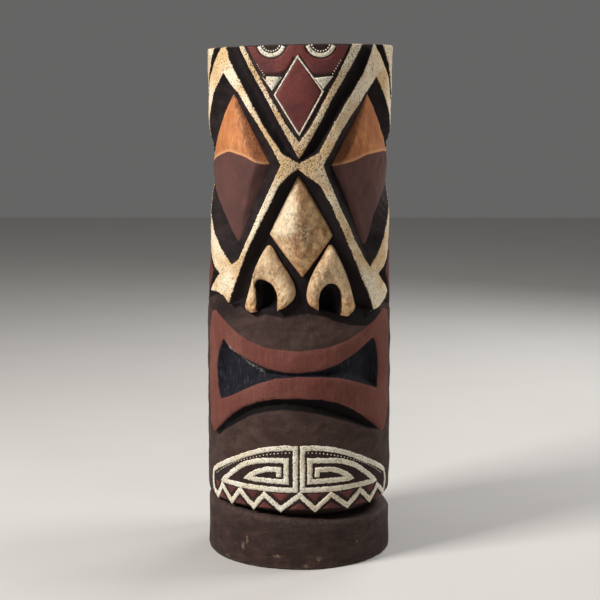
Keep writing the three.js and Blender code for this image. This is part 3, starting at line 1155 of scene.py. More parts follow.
@dataclass
class NoseBlock:
    """The nose: a pale diamond with a ridge down its middle."""

    surface: LogSurface
    foot_depth: float = 20.0
    rings: int = 48
    around: int = 300
    softness: float = 1.6
    belly: float = 0.9
    bevel: float = 1.5
    bevel_width: float = 2.0
    CORNERS: ClassVar[tuple[Corner, ...]] = (
        (-0.3, 380.0, 7.5), (38.0, 322.5, 9.5), (3.6, 283.0, 8.0), (-32.0, 324.0, 9.0),
    )
    RIDGE: ClassVar[Corner] = (1.0, 332.0, -0.2)
    warm_foot_share: float = 0.7
    # Where the browner colour starts, towards the right and towards the foot, and over what run: to the right
    # it is painted shade on the half turned from the light, towards the foot the wood's own colour
    SHADE_SIDE: ClassVar[tuple[float, float]] = (-9.0, 13.0)
    WARM_FOOT: ClassVar[tuple[float, float]] = (329.0, 12.0)

    def build(self, finish: Material) -> Object:
        """Builds the block: the deepest of four planes that meet at the ridge's highest point.

        Args:
            finish: the piece's material.

        Returns:
            The new piece.
        """
        corners = [c[:2] for c in self.CORNERS]
        rim = spaced(np.asarray(corners, float), self.around, closed=True)
        for _ in range(3):
            rim = 0.5 * rim + 0.25 * (np.roll(rim, 1, axis=0) + np.roll(rim, -1, axis=0))
        middle = np.array(self.RIDGE[:2])
        share = np.linspace(0.01, 1.0, self.rings)
        s, z = rings_to(rim, middle, share)
        pairs = zip(self.CORNERS, self.CORNERS[1:] + self.CORNERS[:1])
        depth = deepest(s, z, [(a, b, self.RIDGE) for a, b in pairs], self.softness)
        depth = depth - self.belly * np.sin(math.pi * share)[:, None]
        depth = depth + self.surface.ripple(s, z, NOSE_WAVES)
        edge = signed_distance(corners, s, z)
        depth = depth + self.bevel * (1.0 - smoothstep(edge / self.bevel_width))
        s, z, depth = with_foot(s, z, depth, middle, self.foot_depth)
        (at_s, run_s), (at_z, run_z) = self.SHADE_SIDE, self.WARM_FOOT
        # Browner to the right as painted shade on the half turned from the light, and towards the foot as the
        # wood's own colour
        warm = smoothstep((s - at_s) / run_s) + self.warm_foot_share * smoothstep((at_z - z) / run_z)
        fields = {
            "edge": hidden_below(edge),
            "scorch": NOSE_SCORCH.at(s, z),
            "warm": np.clip(warm, 0.0, 1.0),
        }
        return make_piece("nose_block", self.surface.point(s, z, depth), finish, fields, "nose")


@dataclass
class NostrilBlock:
    """A nostril: a domed arch round a hole that is open at its foot."""

    surface: LogSurface
    side: Side
    foot_depth: float = 20.0
    along: int = 130
    strips: int = 17
    crest_depth: float = 1.6
    hole_edge_depth: float = 4.2
    rim_depth: float = 8.5
    end_drop: float = 2.0
    end_run: float = 7.0
    dome: float = 2.4
    dent_lean: float = 1.4
    scorch: float = 0.28
    warmth: float = 0.62
    WARM_FOOT: ClassVar[tuple[float, float]] = (266.0, 12.0)

    def build(self, finish: Material) -> Object:
        """Builds the block: a closed section carried along the arch between the hole and the rim.

        Across the section, depth = crest + (edge - crest) |2t - 1|^dome between the hole (t = 0) and the
        rim (t = 1); both walls go straight down to the foot and meet underneath.

        Args:
            finish: the piece's material.

        Returns:
            The new piece.
        """
        rim = spaced(smooth_line(NOSTRIL_RIM[self.side], 0.8), self.along)
        hole = spaced(smooth_line(NOSTRIL_HOLE[self.side], 0.8), self.along)
        t = np.linspace(0.0, 1.0, self.strips)
        edge = np.where(t < 0.5, self.hole_edge_depth, self.rim_depth)
        depth = self.crest_depth + (edge - self.crest_depth) * np.abs(2 * t - 1) ** self.dome
        across = np.concatenate([[0.0], t, [1.0]])
        on_top = np.arange(len(across)) % (len(across) - 1) > 0
        depth = np.concatenate([[self.foot_depth], depth, [self.foot_depth]])
        place = hole[:, None, :] + across[None, :, None] * (rim - hole)[:, None, :]
        s, z = place[..., 0], place[..., 1]
        side = self.side.value
        sunk = depth + self.surface.ripple(s, z, NOSTRIL_WAVES, side)
        end = np.minimum(np.arange(self.along), np.arange(self.along)[::-1])[:, None]
        dent = self.surface.ripple(s, z, NOSTRIL_DENTS, side) * (self.dent_lean - across)
        sunk = sunk + np.where(on_top, self.end_drop * (1 - smoothstep(end / self.end_run)) + dent, 0.0)
        width = np.linalg.norm(rim - hole, axis=1)[:, None]
        at_z, run_z = self.WARM_FOOT
        fields = {
            "edge": np.where(on_top, np.minimum(across, 1.0 - across) * width, -REACH),
            "scorch": self.scorch * NOSTRIL_SCORCH.at(s, z),
            "warm": self.warmth + (1.0 - self.warmth) * smoothstep((at_z - z) / run_z),
        }
        points = self.surface.point(s, z, sunk)
        name = f"{self.side.name.lower()}_nostril"
        return make_piece(f"{name}_block", points, finish, fields, name)


@dataclass
class Base:
    """The round base, turned and a little worn, whose top slopes down towards +X."""

    surface: LogSurface
    radius: float
    top: float
    around: int = 300
    slope: float = 0.07
    spread: float = 1.2
    lean_from: float = 20.0
    top_waves: float = 0.4
    rise_limit: float = 6.0
    # Where the edges start to turn lighter, below the top and above the foot, and over what run: wear at
    # both, and along the top edge also a painted highlight
    top_wear_and_highlight: tuple[float, float] = (8.0, 6.0)
    worn_foot: tuple[float, float] = (5.0, 4.0)
    # Shares of the radius: where the unevenness starts, over what run, and where nicks start
    uneven_from: float = 0.8
    uneven_run: float = 0.15
    nicked_from: float = 0.9
    foot_round: float = 2.2
    brow_round: tuple[float, float] = (4.5, 5.0)
    NICKS: ClassVar[tuple[Spot, ...]] = (
        Spot(-65, 40.5, 3.2, 2.0), Spot(-58, 19, 2.6, 6.0), Spot(-53, 26, 2.0, 5.0),
        Spot(-21, 13, 6.0, 2.2), Spot(19.5, 11, 3.6, 2.8), Spot(7, 4, 4.4, 2.4), Spot(-80, 4, 5.0, 2.4),
        Spot(60, 22, 1.6, 3.0), Spot(150, 16, 4.0, 2.4), Spot(-190, 28, 2.4, 3.6),
    )

    def profile(self) -> Array:
        """The section from the middle of the underside to the middle of the top, as (radius, height)."""
        r, h, foot_round = self.radius, self.top, self.foot_round
        out, up = self.brow_round
        turn = np.linspace(0.0, 0.5 * math.pi, 10)
        under = [(1.0, 0.0), (0.5 * r, 0.0), (0.9 * r, 0.0)]
        foot = [(r - foot_round * (1 - math.sin(a)), foot_round * (1 - math.cos(a))) for a in turn]
        side = [(r, float(z)) for z in np.linspace(3.5, h - 11.0, 24)]
        brow = [(r - out + out * math.cos(a), h - up + up * math.sin(a)) for a in turn]
        table = [(float(x), h) for x in np.linspace(r - 8.0, 1.0, 12)]
        return np.array(under + foot + side + brow + table)

    def build(self, finish: Material) -> Object:
        """Builds the base by turning its profile, with slow waves and a top that falls by slope x.

        Args:
            finish: the piece's material.

        Returns:
            The new piece.
        """
        r, h = self.radius, self.top
        out, z = np.split(self.profile(), 2, axis=1)
        angle = np.linspace(0.0, 2 * math.pi, self.around, endpoint=False)
        half_girth = self.surface.girth / 2
        s = angle[None, :] * self.surface.radius
        uneven = self.surface.ripple(s, z, BASE_WAVES) + self.surface.ripple(s, z, BASE_RIPPLE)
        wild = smoothstep((out - self.uneven_from * r) / (self.uneven_run * r))
        spread = out + (uneven + self.spread) * wild
        x, y = spread * np.sin(angle), -spread * np.cos(angle)
        lean = smoothstep((z - self.lean_from) / (h - self.lean_from)) * (-self.slope * x)
        waves = self.top_waves * uneven * (z > self.lean_from)
        height = np.minimum(z + lean + waves, h + self.rise_limit)
        points = np.stack([x, y, height], axis=-1)
        around = np.mod(s + half_girth, self.surface.girth) - half_girth
        (below, run_down), (above, run_up) = self.top_wear_and_highlight, self.worn_foot
        fields = {
            # Lighter near the top edge, as wear and as a painted highlight, and near the foot, as wear
            "worn": smoothstep((z - (h - below)) / run_down) + smoothstep((above - z) / run_up),
            "nick": sum(nick.at(around, z) for nick in self.NICKS) * (spread > self.nicked_from * r),
        }
        return make_piece("round_base", points, finish, fields, "base")


# ---- Finishes ----

def linear(display: float) -> float:
    """A linear value from a display value of 0 to 255, by the sRGB curve."""
    v = display / 255.0
    return v / 12.92 if v <= 0.04045 else ((v + 0.055) / 1.055) ** 2.4


def tint(red: float, green: float, blue: float) -> Colour:
    """A linear colour from display values of 0 to 255."""
    return (linear(red), linear(green), linear(blue), 1.0)


Socket = bpy.types.NodeSocket
Value = Socket | Colour | float
Span = tuple[float, float]


class Nodes:
    """Adds shader nodes to one tree and joins them."""

    def __init__(self, tree: bpy.types.NodeTree) -> None:
        """Works on that tree."""
        self.tree = tree

    def add(
        self, kind: str, inputs: dict[str | int, Value] | None = None, **settings: object
    ) -> bpy.types.Node:
        """Adds a node, sets its properties and sets or links its inputs.

        Args:
            kind: the node's type.
            inputs: what to put into each input, by name or number.
            settings: the node's own properties.

        Returns:
            The node.
        """
        node = self.tree.nodes.new(kind)
        for key, value in settings.items():
            setattr(node, key, value)
        for key, value in (inputs or {}).items():
            self.put(node.inputs[key], value)
        return node

    def put(self, socket: Socket, value: Value) -> None:
        """Links an output to a socket, or sets the socket's own value."""
        if isinstance(value, Socket):
            self.tree.links.new(value, socket)
        else:
            socket.default_value = value

    def math(self, operation: str, a: Value, b: Value = 0.0, clamp: bool = False) -> Socket:
        """The result of a math node."""
        return self.add("ShaderNodeMath", {0: a, 1: b}, operation=operation, use_clamp=clamp).outputs[0]

    def times(self, a: Value, b: Value) -> Socket:
        """a b."""
        return self.math("MULTIPLY", a, b)

    def plus(self, a: Value, b: Value) -> Socket:
        """a + b."""
        return self.math("ADD", a, b)

    def minus(self, a: Value, b: Value) -> Socket:
        """a - b."""
        return self.math("SUBTRACT", a, b)

    def step(
        self, value: Value, low: Value, high: Value, kind: str = "LINEAR", to: Span = (0.0, 1.0)
    ) -> Socket:
        """The value carried from low..high to another range, and held at its ends."""
        inputs = {"Value": value, "From Min": low, "From Max": high, "To Min": to[0], "To Max": to[1]}
        return self.add("ShaderNodeMapRange", inputs, interpolation_type=kind).outputs["Result"]

    def remap(self, value: Value, low: Value, high: Value, to: Span = (0.0, 1.0)) -> Socket:
        """The value carried smoothly from low..high to another range."""
        return self.step(value, low, high, "SMOOTHSTEP", to)

    def glaze(self, under: Value, over: Value, mask: Value, strength: Value = 1.0) -> Socket:
        """One colour laid over another where the mask is 1, as thickly as the strength says.

        Args:
            under: the colour below.
            over: the colour on top.
            mask: where it lies, from 0 to 1.
            strength: how thickly it lies, from 0 to 1.

        Returns:
            The mixed colour.
        """
        node = self.add("ShaderNodeMix", data_type="RGBA", blend_type="MIX")
        self.put(node.inputs["Factor"], mask if strength == 1.0 else self.times(mask, strength))
        self.put(node.inputs["A"], under)
        self.put(node.inputs["B"], over)
        return node.outputs["Result"]

    def field(self, name: str) -> Socket:
        """A value stored on the mesh."""
        return self.add("ShaderNodeAttribute", attribute_name=name).outputs["Fac"]

    def place(self, across: float = 1.0, up: float = 1.0) -> Socket:
        """Object coordinates, scaled across and up the figure."""
        inputs = {"Vector": self.add("ShaderNodeTexCoord").outputs["Object"], "Scale": (across, across, up)}
        return self.add("ShaderNodeMapping", inputs).outputs["Vector"]

    def noise(
        self, vector: Value, scale: Value, detail: float = 3.0, rough: float = 0.55, twist: float = 0.0
    ) -> Socket:
        """Noise between 0 and 1.

        Args:
            vector: the coordinates.
            scale: how small its features are.
            detail: how many finer layers it has.
            rough: how strong they are.
            twist: how far it is distorted.

        Returns:
            The noise's value.
        """
        inputs = {"Vector": vector, "Scale": scale, "Detail": detail, "Roughness": rough}
        inputs["Distortion"] = twist
        return self.add("ShaderNodeTexNoise", inputs).outputs["Fac"]

    def rings(self, vector: Value, scale: float, twist: float, detail: Span, axis: str) -> Socket:
        """Wavy rings round an axis, between 0 and 1, with the detail's amount and scale.

        Args:
            vector: the coordinates.
            scale: how close the rings are.
            twist: how far they wander.
            detail: the amount and the scale of their unevenness.
            axis: the axis that they go round.

        Returns:
            The pattern's value.
        """
        inputs = {"Vector": vector, "Scale": scale, "Distortion": twist}
        inputs |= {"Detail": detail[0], "Detail Scale": detail[1]}
        return self.add("ShaderNodeTexWave", inputs, wave_type="RINGS", rings_direction=axis).outputs["Fac"]

    def group(self, tree: bpy.types.NodeTree, inputs: dict[str, Value]) -> bpy.types.bpy_prop_collection:
        """Places a shared node group, and gives its outputs.

        Args:
            tree: the group.
            inputs: what to put into each of its inputs.

        Returns:
            Its outputs, by name.
        """
        node = self.add("ShaderNodeGroup", node_tree=tree)
        for key, value in inputs.items():
            self.put(node.inputs[key], value)
        return node.outputs


@dataclass(frozen=True)
class Group:
    """A node group with plain number sockets."""

    tree: bpy.types.NodeTree
    nodes: Nodes
    given: bpy.types.bpy_prop_collection
    made: bpy.types.bpy_prop_collection

    @classmethod
    def new(cls, name: str, inputs: dict[str, float], outputs: Sequence[str]) -> "Group":
        """Makes the group with its input sockets and their usual values, and its output sockets.

        Args:
            name: the group's name.
            inputs: its inputs and their usual values.
            outputs: its outputs.

        Returns:
            The group.
        """
        tree = bpy.data.node_groups.new(name, "ShaderNodeTree")
        for key, value in inputs.items():
            socket = tree.interface.new_socket(name=key, in_out="INPUT", socket_type="NodeSocketFloat")
            socket.default_value = value
        for key in outputs:
            tree.interface.new_socket(name=key, in_out="OUTPUT", socket_type="NodeSocketFloat")
        nodes = Nodes(tree)
        return cls(tree, nodes, nodes.add("NodeGroupInput").outputs, nodes.add("NodeGroupOutput").inputs)


def ragged_edge_group() -> bpy.types.NodeTree:
    """Paint's edge: 1 inside a region and 0 outside, along a slightly ragged line, with flecks rubbed out.

    Distance is how far inside the region a point lies; Ragged moves the line by that many mm of noise.
    """
    inputs = {"Distance": 0.0, "Ragged": 0.8, "Soft": 0.25, "Flecks": 0.0}
    group = Group.new("ragged_edge", inputs, ("Mask",))
    n, given = group.nodes, group.given
    place = n.place()
    coarse = n.times(n.minus(n.noise(place, 430.0, 4.0, 0.68), 0.5), 4.0)
    moved = n.plus(given["Distance"], n.times(coarse, given["Ragged"]))
    edge = n.remap(moved, n.times(given["Soft"], -1.0), given["Soft"])
    level = n.minus(0.78, n.times(given["Flecks"], 0.36))
    gone = n.step(n.noise(place, 620.0, 4.0, 0.7), level, n.plus(level, 0.05))
    n.put(group.made["Mask"], n.math("MULTIPLY", edge, n.minus(1.0, gone), clamp=True))
    return group.tree


def grain_group() -> bpy.types.NodeTree:
    """Upright wood grain: long streaks, pores and slow patches.

    Streaks is noise stretched sixteen times along z, Pores is fine dark dashes, and Patches is slow noise.
    """
    group = Group.new("upright_grain", {"Scale": 1.0}, ("Streaks", "Pores", "Patches"))
    n, scale = group.nodes, group.given["Scale"]
    streaks = n.noise(n.place(up=0.06), n.times(scale, 420.0), 5.0, 0.62)
    pores = n.noise(n.place(up=0.16), n.times(scale, 1500.0), 2.0, 0.5)
    n.put(group.made["Streaks"], n.remap(streaks, 0.3, 0.7))
    n.put(group.made["Pores"], n.remap(pores, 0.56, 0.74))
    n.put(group.made["Patches"], n.remap(n.noise(n.place(), 28.0, 3.0), 0.35, 0.65))
    return group.tree


@dataclass(frozen=True)
class Shared:
    """The node groups that several finishes use."""

    ragged: bpy.types.NodeTree
    grain: bpy.types.NodeTree

    def area(self, n: Nodes, name: str, ragged: float, soft: float, flecks: float = 0.0) -> Socket:
        """1 inside the region whose distance is stored under that name, with a ragged edge."""
        inputs = {"Distance": n.field(name), "Ragged": ragged, "Soft": soft, "Flecks": flecks}
        return n.group(self.ragged, inputs)["Mask"]


@dataclass
class Coat:
    """One material being made: its nodes and its Principled BSDF."""

    name: str
    material: Material = field(init=False)
    nodes: Nodes = field(init=False)
    shader: bpy.types.bpy_prop_collection = field(init=False)

    def __post_init__(self) -> None:
        """Makes the material with a plain Principled BSDF."""
        self.material = bpy.data.materials.new(self.name)
        self.material.use_nodes = True
        self.nodes = Nodes(self.material.node_tree)
        self.shader = self.material.node_tree.nodes["Principled BSDF"].inputs

    def dress(self, colour: Socket, fine: Socket, rough: Span, gloss: float) -> None:
        """Sets the colour, a roughness that follows the fine noise, and the specular level.

        Args:
            colour: the base colour.
            fine: fine noise.
            rough: the lowest and highest roughness.
            gloss: the specular level.
        """
        self.nodes.put(self.shader["Base Color"], colour)
        self.nodes.put(self.shader["Roughness"], self.nodes.remap(fine, 0.3, 0.7, rough))
        self.shader["Specular IOR Level"].default_value = gloss

    def emboss(self, height: Socket, distance: float, strength: float) -> None:
        """Feeds a height through a Bump node into the normal, with its distance in mm."""
        inputs = {"Height": height, "Strength": strength, "Distance": distance * MM}
        self.nodes.put(self.shader["Normal"], self.nodes.add("ShaderNodeBump", inputs).outputs["Normal"])


@dataclass(frozen=True)
class CarvedFinish:
    """Brown stain, black grooves, red-brown lips, a blue-black mouth and cream bands, with painted shadow
    under the lower lip, below the nostrils and below the lattice's left foot.
    """

    stain_dark: Colour = tint(48, 33, 30)
    stain_light: Colour = tint(90, 70, 63)
    dust: Colour = tint(122, 104, 96)
    dust_pale: Colour = tint(186, 182, 180)
    black: Colour = tint(24, 17, 18)
    # Near-black for the groove under the lower lip: its black paint darkened further as painted shadow
    deepest: Colour = tint(14, 9, 9)
    black_worn: Colour = tint(58, 45, 44)
    lip: Colour = tint(118, 67, 58)
    lip_worn: Colour = tint(140, 92, 80)
    mouth: Colour = tint(22, 21, 29)
    mouth_worn: Colour = tint(70, 70, 80)
    cream: Colour = tint(248, 234, 206)
    cream_low: Colour = tint(218, 184, 136)
    under: Colour = tint(84, 56, 42)
    panel: Colour = tint(40, 26, 25)
    heart: Colour = tint(106, 56, 52)
    end_grain: Colour = tint(104, 90, 84)

    def build(self, shared: Shared) -> Material:
        """Builds the log's material from the regions stored on its mesh.

        Args:
            shared: the node groups that finishes share.

        Returns:
            The new material.
        """
        coat = Coat("carved_painted_wood")
        n = coat.nodes
        grain = n.group(shared.grain, {"Scale": 1.0})
        place = n.place()
        fine = n.noise(place, 900.0, 4.0, 0.7)
        cloud = n.remap(n.noise(n.place(up=1.8), 45.0, 5.0, 0.65), 0.38, 0.68)
        scuff = n.remap(n.noise(n.place(0.5, 1.6), 150.0, 5.0, 0.72), 0.6, 0.74)
        stain = n.glaze(self.stain_dark, self.stain_light, n.plus(0.22, n.times(cloud, 0.5)))
        stain = n.glaze(stain, self.stain_dark, grain["Streaks"], 0.16)
        stain = n.glaze(stain, self.dust, scuff, 0.45)
        stain = n.glaze(stain, self.dust, n.remap(fine, 0.55, 0.75), 0.3)
        panel = n.glaze(self.panel, self.stain_light, grain["Streaks"], 0.3)
        stain = n.glaze(stain, panel, shared.area(n, "field", 0.6, 0.3))
        # Painted shadow: near-black laid on the stain below the lattice's left foot
        stain = n.glaze(stain, self.black, n.field("foot_shadow"), 0.9)
        black = n.glaze(self.black, self.black_worn, n.remap(fine, 0.45, 0.75), 0.4)
        black = n.glaze(black, self.black_worn, cloud, n.times(shared.area(n, "hollow", 0.3, 0.3), 0.55))
        colour = n.glaze(stain, black, shared.area(n, "black", 0.5, 0.5))
        # Painted shadow under the lower lip, laid over the groove's black
        colour = n.glaze(colour, self.deepest, shared.area(n, "shadow", 0.5, 0.8))
        heart = n.glaze(self.heart, self.stain_dark, grain["Streaks"], 0.3)
        colour = n.glaze(colour, heart, shared.area(n, "heart", 0.5, 0.3, 0.15))
        lip = n.glaze(self.lip, self.lip_worn, grain["Patches"], 0.45)
        lip = n.glaze(lip, self.stain_dark, grain["Pores"], 0.55)
        lip = n.glaze(lip, self.stain_dark, grain["Streaks"], 0.25)
        lip = n.glaze(lip, self.lip_worn, scuff, 0.3)
        colour = n.glaze(colour, lip, shared.area(n, "lip", 0.45, 0.3, 0.12))
        streak = n.remap(n.noise(n.place(up=0.1), 620.0, 3.0, 0.7), 0.5, 0.78)
        mouth = n.glaze(self.mouth, self.mouth_worn, streak)
        colour = n.glaze(colour, mouth, shared.area(n, "mouth", 0.2, 0.3))
        chips = n.times(n.field("chips"), n.remap(n.noise(place, 700.0, 3.0, 0.6), 0.5, 0.56))
        colour = n.glaze(colour, self.dust_pale, chips, 0.75)
        cream = n.glaze(self.cream, self.cream_low, grain["Patches"])
        cream = n.glaze(cream, self.cream_low, n.remap(fine, 0.5, 0.68), 0.35)
        cream = n.glaze(cream, self.cream_low, n.field("rubbed"), 0.6)
        rough_band = n.remap(n.field("band"), -0.5, 0.5)
        speck_level = n.minus(0.575, n.times(rough_band, 0.04))
        speck_level = n.minus(speck_level, n.times(n.field("rubbed"), 0.05))
        speck_noise = n.noise(n.place(up=0.7), 950.0, 3.0, 0.66)
        speck = n.step(speck_noise, speck_level, n.plus(speck_level, 0.04))
        cream = n.glaze(cream, self.under, speck, 0.85)
        cream_mask = shared.area(n, "cream", 0.9, 0.2, 0.4)
        colour = n.glaze(colour, cream, cream_mask)
        rings = n.rings(place, 150.0, 2.5, (3.0, 0.6), "Z")
        end = n.glaze(self.end_grain, self.stain_dark, rings, 0.42)
        end = n.glaze(end, self.stain_dark, cloud, 0.35)
        colour = n.glaze(colour, end, n.field("crown"))
        coat.dress(colour, fine, (0.62, 0.88), 0.18)
        height = n.plus(n.times(grain["Streaks"], 0.3), n.times(fine, 0.5))
        height = n.plus(height, n.times(n.minus(cream_mask, speck), 0.5))
        height = n.plus(height, n.times(cloud, 0.6))
        coat.emboss(height, 0.55, 0.75)
        return coat.material


@dataclass(frozen=True)
class StrokeFinish:
    """Thick brush paint, flecked where the wood shows through."""

    name: str
    paint: Colour
    shade: Colour
    under: Colour = tint(62, 42, 36)
    flecks: float = 0.5

    def build(self, shared: Shared) -> Material:
        """Builds the material.

        Args:
            shared: the node groups that finishes share.

        Returns:
            The new material.
        """
        coat = Coat(self.name)
        n = coat.nodes
        grain = n.group(shared.grain, {"Scale": 1.2})
        place = n.place()
        fine = n.noise(place, 950.0, 4.0, 0.7)
        paint = n.glaze(self.paint, self.shade, grain["Patches"], 0.8)
        paint = n.glaze(paint, self.shade, n.remap(fine, 0.4, 0.7), 0.5)
        level = 0.62 - 0.09 * self.flecks
        speck = n.remap(n.noise(place, 900.0, 3.0, 0.65), level, level + 0.06)
        colour = n.glaze(paint, self.under, speck, 0.8)
        colour = n.glaze(colour, self.under, grain["Pores"], 0.25)
        coat.dress(colour, fine, (0.6, 0.85), 0.3)
        coat.emboss(n.minus(fine, speck), 0.35, 0.7)
        return coat.material


@dataclass(frozen=True)
class EyeFinish:
    """Amber wood above the brow ridge, with a painted highlight along it, bark-brown towards the nose, and
    dark stain below the ridge.
    """

    amber: Colour = tint(216, 140, 84)
    amber_dark: Colour = tint(142, 78, 48)
    gold: Colour = tint(230, 164, 92)
    bark: Colour = tint(76, 48, 38)
    # Painted highlight colour for the brow ridge
    brow_highlight: Colour = tint(232, 178, 128)
    stain: Colour = tint(98, 62, 56)
    stain_dark: Colour = tint(76, 46, 43)
    edge: Colour = tint(46, 32, 31)

    def build(self, shared: Shared) -> Material:
        """Builds the material.

        Args:
            shared: the node groups that finishes share.

        Returns:
            The new material.
        """
        coat = Coat("eye_wood")
        n = coat.nodes
        grain = n.group(shared.grain, {"Scale": 0.7})
        place = n.place()
        fine = n.noise(place, 850.0, 4.0, 0.7)
        burnt = n.remap(n.noise(n.place(up=0.3), 260.0, 6.0, 0.75), 0.42, 0.62)
        mottle = n.remap(n.noise(n.place(up=0.45), 420.0, 5.0, 0.72), 0.46, 0.66)
        golden = n.remap(n.noise(n.place(up=0.35), 150.0, 3.0, 0.6), 0.42, 0.62)
        amber = n.glaze(self.amber, self.gold, golden, 0.6)
        amber = n.glaze(amber, self.amber_dark, grain["Streaks"], 0.35)
        amber = n.glaze(amber, self.amber_dark, mottle, 0.35)
        amber = n.glaze(amber, self.amber_dark, grain["Pores"], 0.6)
        amber = n.glaze(amber, self.amber_dark, grain["Patches"], 0.45)
        amber = n.glaze(amber, self.bark, burnt, 0.15)
        inner = n.glaze(amber, self.amber_dark, 0.55)
        inner = n.glaze(inner, self.bark, burnt, 0.25)
        towards = n.plus(n.field("bark"), n.times(n.minus(burnt, 0.5), 2.0))
        amber = n.glaze(amber, inner, n.remap(towards, -3.5, 2.0))
        fleck = n.remap(n.noise(n.place(up=0.35), 640.0, 5.0, 0.7), 0.54, 0.6)
        fleck = n.times(fleck, n.remap(towards, -6.0, 1.0))
        amber = n.glaze(amber, self.bark, fleck, 0.8)
        # Painted highlight: a pale line along and just above the brow line
        ridge = n.times(n.remap(n.field("brow"), -0.6, 0.6), n.remap(n.field("brow"), 4.0, 0.8))
        amber = n.glaze(amber, self.brow_highlight, ridge, 0.45)
        stain = n.glaze(self.stain, self.stain_dark, grain["Patches"], 0.6)
        stain = n.glaze(stain, self.edge, burnt, 0.12)
        upper = shared.area(n, "brow", 0.12, 0.35)
        colour = n.glaze(stain, amber, upper)
        edge = n.plus(n.field("edge"), n.minus(fine, 0.5))
        colour = n.glaze(colour, self.edge, n.remap(edge, 0.1, -0.5))
        coat.dress(colour, fine, (0.5, 0.7), 0.35)
        height = n.minus(n.times(grain["Streaks"], 0.4), n.times(fleck, 0.6))
        coat.emboss(height, 0.4, 0.6)
        return coat.material


@dataclass(frozen=True)
class NoseFinish:
    """Pale wood with swirling brown figure, scorched along the middle, browner on the right half as painted
    shade, and nearly black below its edges.
    """

    pale: Colour = tint(250, 234, 202)
    gold: Colour = tint(240, 204, 148)
    tan: Colour = tint(206, 152, 102)
    scorch: Colour = tint(88, 74, 62)
    crack: Colour = tint(84, 54, 38)
    edge: Colour = tint(34, 24, 22)

    def build(self, shared: Shared) -> Material:
        """Builds the material.

        Args:
            shared: the node groups that finishes share; not used here.

        Returns:
            The new material.
        """
        coat = Coat("nose_wood")
        n = coat.nodes
        place = n.place()
        fine = n.noise(place, 800.0, 4.0, 0.7)
        figure = n.noise(n.place(up=0.6), 90.0, 5.0, 0.6, 1.2)
        lines = n.remap(figure, 0.36, 0.62)
        warm = n.field("warm")
        swirl = n.rings(n.place(up=0.7), 60.0, 5.0, (2.0, 1.2), "Y")
        swirl = n.times(n.remap(swirl, 0.5, 1.0), n.remap(warm, 0.5, 1.0))
        ground = n.glaze(self.pale, self.gold, lines, 0.35)
        brown = n.glaze(self.gold, self.tan, lines)
        # Browner where warm is high: painted shade on the nose's right half; on the nose's foot and the
        # nostrils, the wood's own colour
        colour = n.glaze(ground, brown, warm)
        mottle = n.remap(n.noise(n.place(up=0.7), 420.0, 5.0, 0.72, 0.6), 0.48, 0.66)
        colour = n.glaze(colour, self.tan, mottle, n.remap(warm, -0.3, 1.0, (0.1, 0.5)))
        colour = n.glaze(colour, self.crack, swirl, 0.2)
        near = n.plus(n.field("edge"), n.times(n.minus(figure, 0.5), 14.0))
        colour = n.glaze(colour, self.tan, n.remap(near, 4.0, 0.0), 0.45)
        char = n.remap(n.noise(n.place(up=0.6), 520.0, 6.0, 0.78, 0.8), 0.4, 0.56)
        burnt = n.times(n.field("scorch"), char)
        colour = n.glaze(colour, self.tan, n.remap(fine, 0.5, 0.7), 0.4)
        colour = n.glaze(colour, self.scorch, burnt, 0.9)
        crack = n.remap(n.noise(n.place(up=0.6), 500.0, 4.0, 0.72, 1.4), 0.6, 0.66)
        colour = n.glaze(colour, self.crack, crack, n.remap(warm, 0.0, 0.6, (0.15, 0.65)))
        wander = n.minus(n.noise(n.place(up=0.75), 210.0, 5.0, 0.68, 0.5), 0.5)
        crease = n.remap(n.math("ABSOLUTE", wander), 0.035, 0.0)
        crease = n.times(crease, n.times(lines, n.remap(warm, 0.1, 0.7)))
        colour = n.glaze(colour, self.crack, crease, 0.5)
        edge = n.plus(n.field("edge"), n.minus(fine, 0.5))
        colour = n.glaze(colour, self.edge, n.remap(edge, 0.3, -0.4))
        coat.dress(colour, fine, (0.36, 0.58), 0.45)
        height = n.minus(n.times(figure, 1.8), n.times(crack, 1.0))
        height = n.minus(height, n.times(n.plus(fine, crease), 0.5))
        coat.emboss(n.minus(height, n.times(mottle, 0.55)), 0.6, 0.9)
        return coat.material


